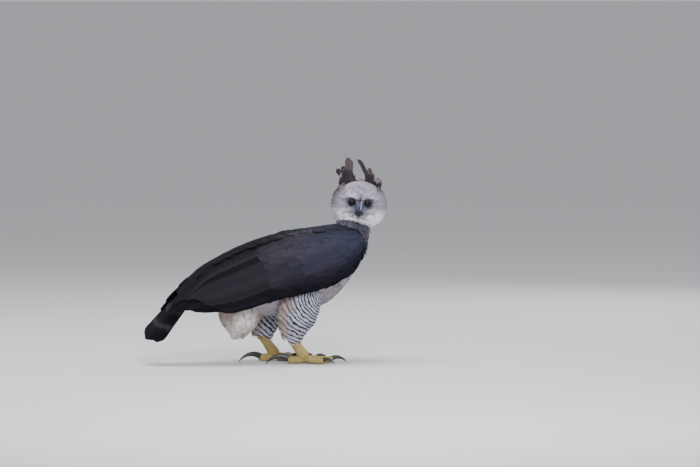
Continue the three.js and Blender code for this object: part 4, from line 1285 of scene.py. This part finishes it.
def make_wing(name, side, coat, flight):
    surface = wing_surface(side)
    rng = np.random.default_rng(SEEDS["wing"])
    lots = []
    for kind, (count, root, tip, root_step, tip_step, width, lift) in LONG.items():
        i = np.arange(count)[:, None]
        root = np.array(root) + np.array(root_step) * i
        tip = np.array(tip) + np.array(tip_step) * i
        tip[:, 0] *= 1 + 0.006 * rng.standard_normal(count)
        lift = np.array(lift) + 0.32 * i
        # The lower feathers are darker: painted shade on the wing's lower part.
        low = smooth(0.45, 0.85, root[:, 1])
        tone = mix(SLATE if kind == "secondary" else BLACK_AND_PAINTED_SHADE, BLACK_AND_PAINTED_SHADE, 0.8 * low)
        tone = mix(tone, SLATE_BROWN, 0.45 * rng.random(count) ** 2 * (1 - 0.7 * low))
        looks = {"roll": 0.10, "camber": 0.06, "thick": 0.7, "ragged": 0.015}
        lots.append(vanes(surface, FLIGHT, root, tip, width, lift, tone, rng, **looks))
    put(coat_object("flight_feathers_" + name, lots, flight), "flight_feathers", "wing_" + name)

    def spacing(u):
        return 9 + 13 * smooth(0.05, 0.5, u), 11 + 8 * smooth(0.05, 0.5, u)

    root = tiers(surface, (-0.03, 0.54), (-0.01, 0.93), spacing, rng, jitter=0.10)
    u, v = root.T
    length = (27 + 38 * smooth(0.05, 0.5, u)) * (1 + 0.06 * rng.standard_normal(len(root)))
    tip = reach_along(surface, root, length, along_chart(surface, root, 1), rng, 4)
    # Slate blue toward the wing's bend and top edge is painted sheen.
    tone = mix(SLATE, SLATE_BLUE_AND_SHEEN, smooth(0.60, 0.32, u) * smooth(-0.05, 0.25, v))
    cloud = 0.5 + 0.5 * np.sin(13 * u + 5 * v) * np.cos(11 * v - 7 * u)
    brown = smooth(0.20, 0.36, u) * smooth(0.66, 0.50, u) * (0.75 * cloud + 0.25 * rng.random(len(u)))
    tone = mix(tone, SLATE_BROWN, 0.85 * brown)
    # Painted shade: the coverts darken toward the wing's lower edge, where overhead light leaves it dark.
    tone = mix(tone, BLACK_AND_PAINTED_SHADE, 0.85 * smooth(0.60, 0.92, v) * smooth(0.02, 0.15, u))
    small = smooth(0.5, 0.05, u)
    last = smooth(0.34, 0.5, u)
    lift = stack(-5, 1.4 - 0.4 * small - 0.8 * last, 2.8 - 0.8 * small - 2.0 * last)
    width = (17 + 11 * (1 - small)) * (1 - 0.25 * smooth(0.8, 1.0, v))
    lots = [vanes(surface, COVERT, root, tip, width, lift, tone, rng, roll=0.04, ragged=0.02)]
    # The front edge of the wing turns inward under small feathers.
    root = tiers(surface, (-0.02, 0.58), (0.86, 1.0), (9, 6), rng, jitter=0.15)
    root[:, 1] -= 0.055 * smooth(0.34, 0.56, root[:, 0])
    length = 26 + rng.standard_normal(len(root))
    tip = reach_along(surface, root, length, along_chart(surface, root, 1), rng, 3)
    # Painted shade: past the bend the small feathers of the lower edge are near black.
    tone = mix(SLATE, BLACK_AND_PAINTED_SHADE, 0.85 * smooth(0.02, 0.15, root[:, 0]))
    lots.append(vanes(surface, CONTOUR, root, tip, 12, (-6, -2.5, -0.5), tone, rng, ragged=0.0))
    put(coat_object("wing_coverts_" + name, lots, coat), "body_feathers")


# Tail.

TAIL_HALF = 6
# Cross bands of the tail's feathers: colour, how many, and their share.
TAIL_BANDS = (TAIL_BAND, 4, 0.36)
# Coverts over and under the tail's root: half width, height over it, how much higher at the root, tone
# and part of the OFBake map.
TAIL_COVERTS = [
    (tail_surface, 0.95, 1.0, -4.0, SLATE, (0, 0.5)),
    (under_tail_surface, 0.70, 9.0, 5.0, WHITE, (0.5, 1)),
]


def make_tail(coat, flight):
    rng = np.random.default_rng(SEEDS["tail"])
    # The feathers of each half, from the outermost to the middle one.
    rank = np.arange(TAIL_HALF)[::-1] + 0.5
    lots = []
    for side in (1, -1):
        v = side * rank / TAIL_HALF
        root = stack(0.22, 0.6 * v)
        tip = stack(0.975 - 0.008 * rank + 0.006 * rng.standard_normal(TAIL_HALF), 0.86 * v)
        under = -0.85 * (2 * (rank - 0.5) + (1 if side > 0 else 0))
        lift = stack(under - 2, under, under)
        looks = {"camber": 0.07, "thick": 0.7, "ragged": 0.015, "roll": 0.02 * side, "bands": TAIL_BANDS}
        lots.append(vanes(tail_surface, RECTRIX, root, tip, 42, lift, BLACK_AND_PAINTED_SHADE, rng, **looks))
    put(coat_object("tail_feathers", lots, flight), "flight_feathers", "tail")
    lots = []
    for surface, wide, level, rise, tone, home in TAIL_COVERTS:
        root = tiers(surface, (0.18, 0.36), (-wide, wide), (15, 11), rng, jitter=0.15)
        length = 55 * (1 + 0.08 * rng.standard_normal(len(root)))
        tip = reach_along(surface, root, length, along_chart(surface, root, 1), rng, 4)
        high = level + rise * smooth(0.40, 0.12, root[:, 0])
        lift = stack(high - 4, high + 1, high + 3)
        lots.append(vanes(surface, COVERT, root, tip, 20, lift, tone, rng, home=home))
    put(coat_object("tail_coverts", lots, coat), "body_feathers")


# Legs.


def make_trousers(name, material):
    rng = np.random.default_rng(SEEDS["trousers"])
    surface = thighs[name]

    def spacing(u):
        return 15 - 3 * smooth(0.6, 1, u), 12 - 2 * smooth(0.6, 1, u)

    root = tiers(surface, (0.0, 0.93), (0, 1), spacing, rng, closed=True, jitter=0.2)
    u, v = root.T
    length = (44 - 12 * smooth(0.6, 1, u)) * (1 + 0.1 * rng.standard_normal(len(root)))
    tip = reach_along(surface, root, length, np.array([-0.12, 0, -1.0]), rng, 8)
    rear = smooth(0.28, 0.42, v) * smooth(0.75, 0.6, v)
    tone = mix(COOL_WHITE, BUFF, 0.8 * rear)
    hem = smooth(0.78, 0.92, u)
    lift = stack(-9, -2 + 3 * hem, 3.5 + 4 * hem)
    looks = {"ragged": 0.12, "camber": 0.16, "barred": (1 - 0.6 * rear) * smooth(0.0, 0.16, u)}
    lots = [vanes(surface, CONTOUR, root, tip, 18, lift, tone, rng, **looks)]
    put(coat_object("trousers_" + name, lots, material), "barred_feathers")


def toe_place(name, forward, reach):
    """A point of the floor some way along a toe."""
    heading = TOES[name][0] * DEGREE
    return [FOOT[0] + forward + math.cos(heading) * reach, FOOT[1] - math.sin(heading) * reach]


def toe_rows(name, forward):
    _, length, radius, _, _ = TOES[name]
    rows = []
    for share, height, girth in TOE:
        place = toe_place(name, forward, length * share)
        rows.append([*place, radius * height, radius * girth, radius * girth * TOE_ROUND])
    return rows


def claw_rows(name, forward):
    _, length, radius, claw, claw_radius = TOES[name]
    steps = CLAW["steps"]
    bend = claw / (CLAW["turn"] * DEGREE)
    start = CLAW["rise"] * DEGREE
    rows = []
    for i in range(steps + 1):
        a = start - CLAW["turn"] * DEGREE * i / steps
        reach = length - CLAW["set"] + bend * (math.sin(start) - math.sin(a))
        height = radius * CLAW["high"] + bend * (math.cos(a) - math.cos(start))
        girth = max(claw_radius * (1 - i / steps) ** CLAW["taper"], CLAW["tip"])
        rows.append([*toe_place(name, forward, reach), max(height, girth), girth * CLAW["slim"], girth])
    return rows


def scutes(count):
    """Plates across the upper side, with furrows between them, and low round scales elsewhere. It gives
    how high the skin stands, from 0 in a furrow to 1."""

    def height(u, v):
        saw = 2 * ((u * count) % 1.0) - 1
        plate = 1 - np.abs(saw) ** 5
        rows = np.abs(np.sin(math.pi * u * count * 2.2)) * np.abs(np.sin(TURN * v * 7))
        upper = smooth(0.1, 0.45, np.cos(TURN * v))
        return plate * upper + (0.35 + 0.4 * rows) * (1 - upper)

    return height


# How many plates the shank has, how long a toe's plates are, and how high they stand with how much of
# that taken off again.
SHANK_PLATES, TOE_PLATE = 13, 6.5
PLATE_HEIGHT, PLATE_SINK = 1.5, 0.6
SHANK_RINGS, TOE_RINGS, LEG_SIDES = 150, 120, 40
CLAW_RINGS, CLAW_SIDES = 32, 20


def make_leg(name, side, leg, claw):
    forward = LEG_FORWARD[name]
    shank = tube([[x + forward, *rest] for x, *rest in TARSUS], side)
    plated = [(shank, SHANK_RINGS, scutes(SHANK_PLATES))]
    for toe, (_, length, *_) in TOES.items():
        surface = tube(toe_rows(toe, forward), side)
        plated.append((surface, TOE_RINGS, scutes(length / TOE_PLATE)))
    bodies, heights = [], []
    for surface, rings, plate in plated:
        relief = lambda u, v: PLATE_HEIGHT * (plate(u, v) - PLATE_SINK)
        body = closed_grid(surface, rings, LEG_SIDES, relief)
        bodies.append(body)
        heights.append(plate(*body[2].T))
    for toe in TOES:
        bodies.append(closed_grid(tube(claw_rows(toe, forward), side), CLAW_RINGS, CLAW_SIDES))
    for points, *_ in bodies:
        points[:, 2] = np.maximum(points[:, 2], 0.0)
    split = len(plated)
    foot = body_object("leg_" + name, bodies[:split], leg, {"raised": np.concatenate(heights)})
    put(foot, "leg_skin", "tarsus_" + name, "foot_" + name)
    for toe, body in zip(TOES, bodies[split:]):
        talon = body_object("talon_%s_%s" % (toe, name), [body], claw)
        put(talon, "claw_horn", "claw_%s_%s" % (toe, name))


# Eyes, lids and bill.

# The upper lid, a dark sheet over the eyeball's top that is partly the lid and partly painted shade
# standing in for the brow's shadow: how high over the eye's middle its straight edge lies, and its slope
# down to the bill.
HOOD = {"height": 6.6, "slope": 15, "sweep": 100, "radius": 12.8, "over": 0.5, "under": -0.9}
# The ring of skin round the eye, and how far the clear front of the eyeball bulges.
LID_RING = {"half_wide": 9.7, "half_high": 8.9, "thick": 1.1, "out": 0.3}
CORNEA = {"bulge": 1.1, "wide": 0.62, "pole": 0.8, "inside": 0.3}
EYE_RINGS, EYE_AROUND = 40, 48
LID_AROUND, LID_SIDES = 40, 10


def upper_lid_and_brow_shade(side, look, across, centre):
    """The upper lid's surface on the eyeball, from its edge up, partly lid and partly painted shade of the
    brow: v goes round from side to side.
    """
    slope = HOOD["slope"] * DEGREE
    axis = np.array([0.0, 0.0, math.cos(slope)]) - side * across * math.sin(slope)
    sideways = np.cross(axis, look)
    edge = math.acos(HOOD["height"] / HOOD["radius"])

    def at(u, v):
        polar = (edge * (1 - 0.85 * np.asarray(u, float)))[..., None]
        turn = (HOOD["sweep"] * DEGREE * np.asarray(v, float))[..., None]
        out = np.cos(polar) * axis + np.sin(polar) * (np.cos(turn) * look + np.sin(turn) * sideways)
        return on_head(centre + HOOD["radius"] * out)

    return Surface(at, -1)


def make_eyeball(name, centre, look, across, up, material):
    """A ball of rings round its line of sight, with poles in front and behind."""
    polar = np.linspace(0.0, math.pi, EYE_RINGS + 1)[1:-1]
    turn = np.arange(EYE_AROUND) * TURN / EYE_AROUND
    reach = EYE["radius"] - CORNEA["inside"] + CORNEA["bulge"] * np.exp(-((polar / CORNEA["wide"]) ** 4))
    around = np.cos(turn)[None, :, None] * across + np.sin(turn)[None, :, None] * up
    ring = np.cos(polar)[:, None, None] * look + np.sin(polar)[:, None, None] * around
    front = centre + look * (EYE["radius"] + CORNEA["pole"])
    behind = centre - look * (EYE["radius"] - CORNEA["inside"])
    points = np.vstack([(centre + ring * reach[:, None, None]).reshape(-1, 3), front, behind])
    last = EYE_RINGS - 2
    pole = (EYE_RINGS - 1) * EYE_AROUND
    faces = []
    for k in range(EYE_AROUND):
        n = (k + 1) % EYE_AROUND
        for start in range(0, last * EYE_AROUND, EYE_AROUND):
            after = start + EYE_AROUND
            faces.append([start + k, after + k, after + n, start + n])
        faces.append([pole, k, n])
        faces.append([pole + 1, last * EYE_AROUND + n, last * EYE_AROUND + k])
    if name == "right":
        faces = [face[::-1] for face in faces]
    outward = np.concatenate([np.repeat(polar, EYE_AROUND), [0.0, math.pi]])
    turned = np.concatenate([np.tile(turn, EYE_RINGS - 1), [0.0, 0.0]])
    values = {"look": stack(outward, turned, 0)}
    return body_object("eyeball_" + name, [(on_head(points), faces)], material, values)


def lid_ring(name, centre, look, across, up):
    """The points and faces of the ring of skin round an eye."""
    a = np.arange(LID_AROUND) * TURN / LID_AROUND
    b = np.arange(LID_SIDES) * TURN / LID_SIDES
    radial = np.cos(a)[:, None] * across + np.sin(a)[:, None] * up
    radius = np.cos(a) / LID_RING["half_wide"], np.sin(a) / LID_RING["half_high"]
    radius = 1 / np.sqrt(radius[0] ** 2 + radius[1] ** 2)
    forward = np.sqrt(EYE["radius"] ** 2 - radius**2) + LID_RING["out"]
    high = LID_RING["thick"] * (0.85 + 0.6 * np.clip(np.sin(a), 0, 1) + 0.08 * np.sin(9 * a))
    middle = centre + radial * radius[:, None] + look * forward[:, None]
    points = middle[:, None] + radial[:, None] * (np.cos(b)[None, :, None] * high[:, None, None])
    points = points + look * (np.sin(b)[None, :, None] * LID_RING["thick"])
    grid = np.arange(LID_AROUND * LID_SIDES).reshape(LID_AROUND, LID_SIDES)
    after, beside = np.roll(grid, -1, 0), np.roll(grid, -1, 1)
    faces = stack(grid, after, np.roll(after, -1, 1), beside).reshape(-1, 4)
    if name == "left":
        faces = faces[:, ::-1]
    return on_head(points.reshape(-1, 3)), faces.tolist()


def make_eye(name, side, eye, lid):
    out = side * EYE["outward"] * DEGREE
    look = np.array([math.cos(out), math.sin(out), 0.0])
    across = np.array([-math.sin(out), math.cos(out), 0.0])
    up = np.array([0.0, 0.0, 1.0])
    centre = np.array([EYE["x"], side * EYE["y"], EYE["z"]], float)
    put(make_eyeball(name, centre, look, across, up, eye), "eye", "eye_" + name)
    surface = upper_lid_and_brow_shade(side, look, across, centre)
    # The hood is a dark sheet over the eye's top: partly the upper lid, partly painted shade of the brow.
    brow_shade_hood = patch_body(surface, (-1, 1), (0, 1), HOOD["over"], HOOD["under"], 16, 30)
    lids = body_object("eyelids_" + name, [lid_ring(name, centre, look, across, up), brow_shade_hood], lid)
    put(lids, "face_feathers")


# How far out along the head the horn turns black, on each half of the bill.
DARK_FROM = {"upper": 89.0, "lower": 56.0}
BILL_RINGS, BILL_SIDES = 80, 64


def make_bill(name, rows, node):
    points, faces, _ = closed_grid(hanging(rows), BILL_RINGS, BILL_SIDES)
    hole = np.zeros(len(points))
    if name == "upper":
        away = folded(points) - [NOSTRIL["x"], NOSTRIL["y"], NOSTRIL["z"]]
        away = away / [NOSTRIL["long"], NOSTRIL["wide"], NOSTRIL["high"]]
        hole = smooth(1.25, 0.55, np.linalg.norm(away, axis=-1))
    points[:, 1] -= np.sign(points[:, 1]) * NOSTRIL["deep"] * hole
    values = {"onhead": points, "hole": hole}
    horn = bill_material(name, DARK_FROM[name])
    put(body_object("bill_horn_" + name, [(on_head(points), faces)], horn, values), "bill_horn", node)


# Floor and light.

FLOOR_HALF = 400.0
SKY_STRENGTH = 0.6
# Lamps: name, place, aim, size and power.
LAMPS = [
    ("key", (-0.3, -3.0, 2.1), (0.0, 0.0, 0.3), 1.5, 92),
    ("top", (-0.3, 0.2, 3.6), (0.0, 0.0, 0.3), 2.6, 120),
    ("rim", (2.2, 2.4, 1.8), (0.1, 0.0, 0.4), 1.6, 30),
]


def make_stage():
    mesh = bpy.data.meshes.new("floor")
    corners = [(x * FLOOR_HALF, y * FLOOR_HALF, 0) for x, y in [(-1, -1), (1, -1), (1, 1), (-1, 1)]]
    mesh.from_pydata(corners, [], [(0, 1, 2, 3)])
    g = Graph("floor", Roughness=0.9, Specular_IOR_Level=0.1)
    g.colour(g.mix(g.noise(2.0, 2.0), *FLOOR))
    mesh.materials.append(g.material)
    floor = bpy.data.objects.new("floor", mesh)
    bpy.context.scene.collection.objects.link(floor)
    world = bpy.data.worlds.new("studio")
    world.use_nodes = True
    background = world.node_tree.nodes["Background"]
    background.inputs["Color"].default_value = SKY
    background.inputs["Strength"].default_value = SKY_STRENGTH
    bpy.context.scene.world = world
    for name, place, aim, size, power in LAMPS:
        light = bpy.data.objects.new(name, bpy.data.lights.new(name, "AREA"))
        light.data.shape = "DISK"
        light.data.size = size
        light.data.energy = power
        light.location = place
        light.rotation_mode = "QUATERNION"
        light.rotation_quaternion = (Vector(place) - Vector(aim)).to_track_quat("Z", "Y")
        bpy.context.scene.collection.objects.link(light)


DULL = {"Roughness": 0.75, "Specular_IOR_Level": 0.08}
SLEEK = {"Roughness": 0.5, "Specular_IOR_Level": 0.05}
slate = feather_material("slate_feathers", (2.1, 1.8, 1.8), (0.75, 0.75, 0.75), **SLEEK)
vane = feather_material("vane_feathers", (1.9, 1.7, 1.7), (0.6, 0.6, 0.6), **SLEEK)
pale = feather_material("pale_feathers", (1.1, 1.1, 1.1), (0.8, 0.8, 0.8), **DULL)
grey = feather_material(
    "face_feathers", (1.05, 1.05, 1.05), (0.7, 0.7, 0.75), barb=0.0009, streak=0.2, relief=0.00005, **DULL
)
plume = feather_material("crest_feathers", (1.5, 1.4, 1.4), (0.5, 0.5, 0.5), relief=0.00005, **DULL)
barred = feather_material("barred_feathers", (1.1, 1.1, 1.1), (0.9, 0.9, 0.9), bars=True, **DULL)
lid = grain_material("lid_skin", LID, 1500.0, 3.0, Roughness=0.55, Specular_IOR_Level=0.2)
POLISH = {"Specular_IOR_Level": 0.5, "Coat_Weight": 0.2, "Coat_Roughness": 0.3}
claw = grain_material("claw_horn", CLAW_HORN, 350.0, 4.0, (0.25, 0.22), **POLISH)
leg, eye = leg_material(), eye_material()

make_skin()
put(coat_object("face_coat", make_face(), grey), "face_feathers")
put(coat_object("ruff_coat", make_jaw() + make_ruff(), grey), "face_feathers")
make_crest(plume)
put(coat_object("neck_coat", make_neck(), slate), "body_feathers")
put(coat_object("back_coat", make_back(), slate), "body_feathers")
put(coat_object("breast_coat", make_breast() + make_vent(), pale), "body_feathers")
make_tail(slate, vane)
make_bill("upper", UPPER_BILL, "bill_upper")
make_bill("lower", LOWER_BILL, "bill_lower")
for name, side in SIDES:
    make_wing(name, side, slate, vane)
    make_trousers(name, barred)
    make_leg(name, side, leg, claw)
    make_eye(name, side, eye, lid)
make_stage()
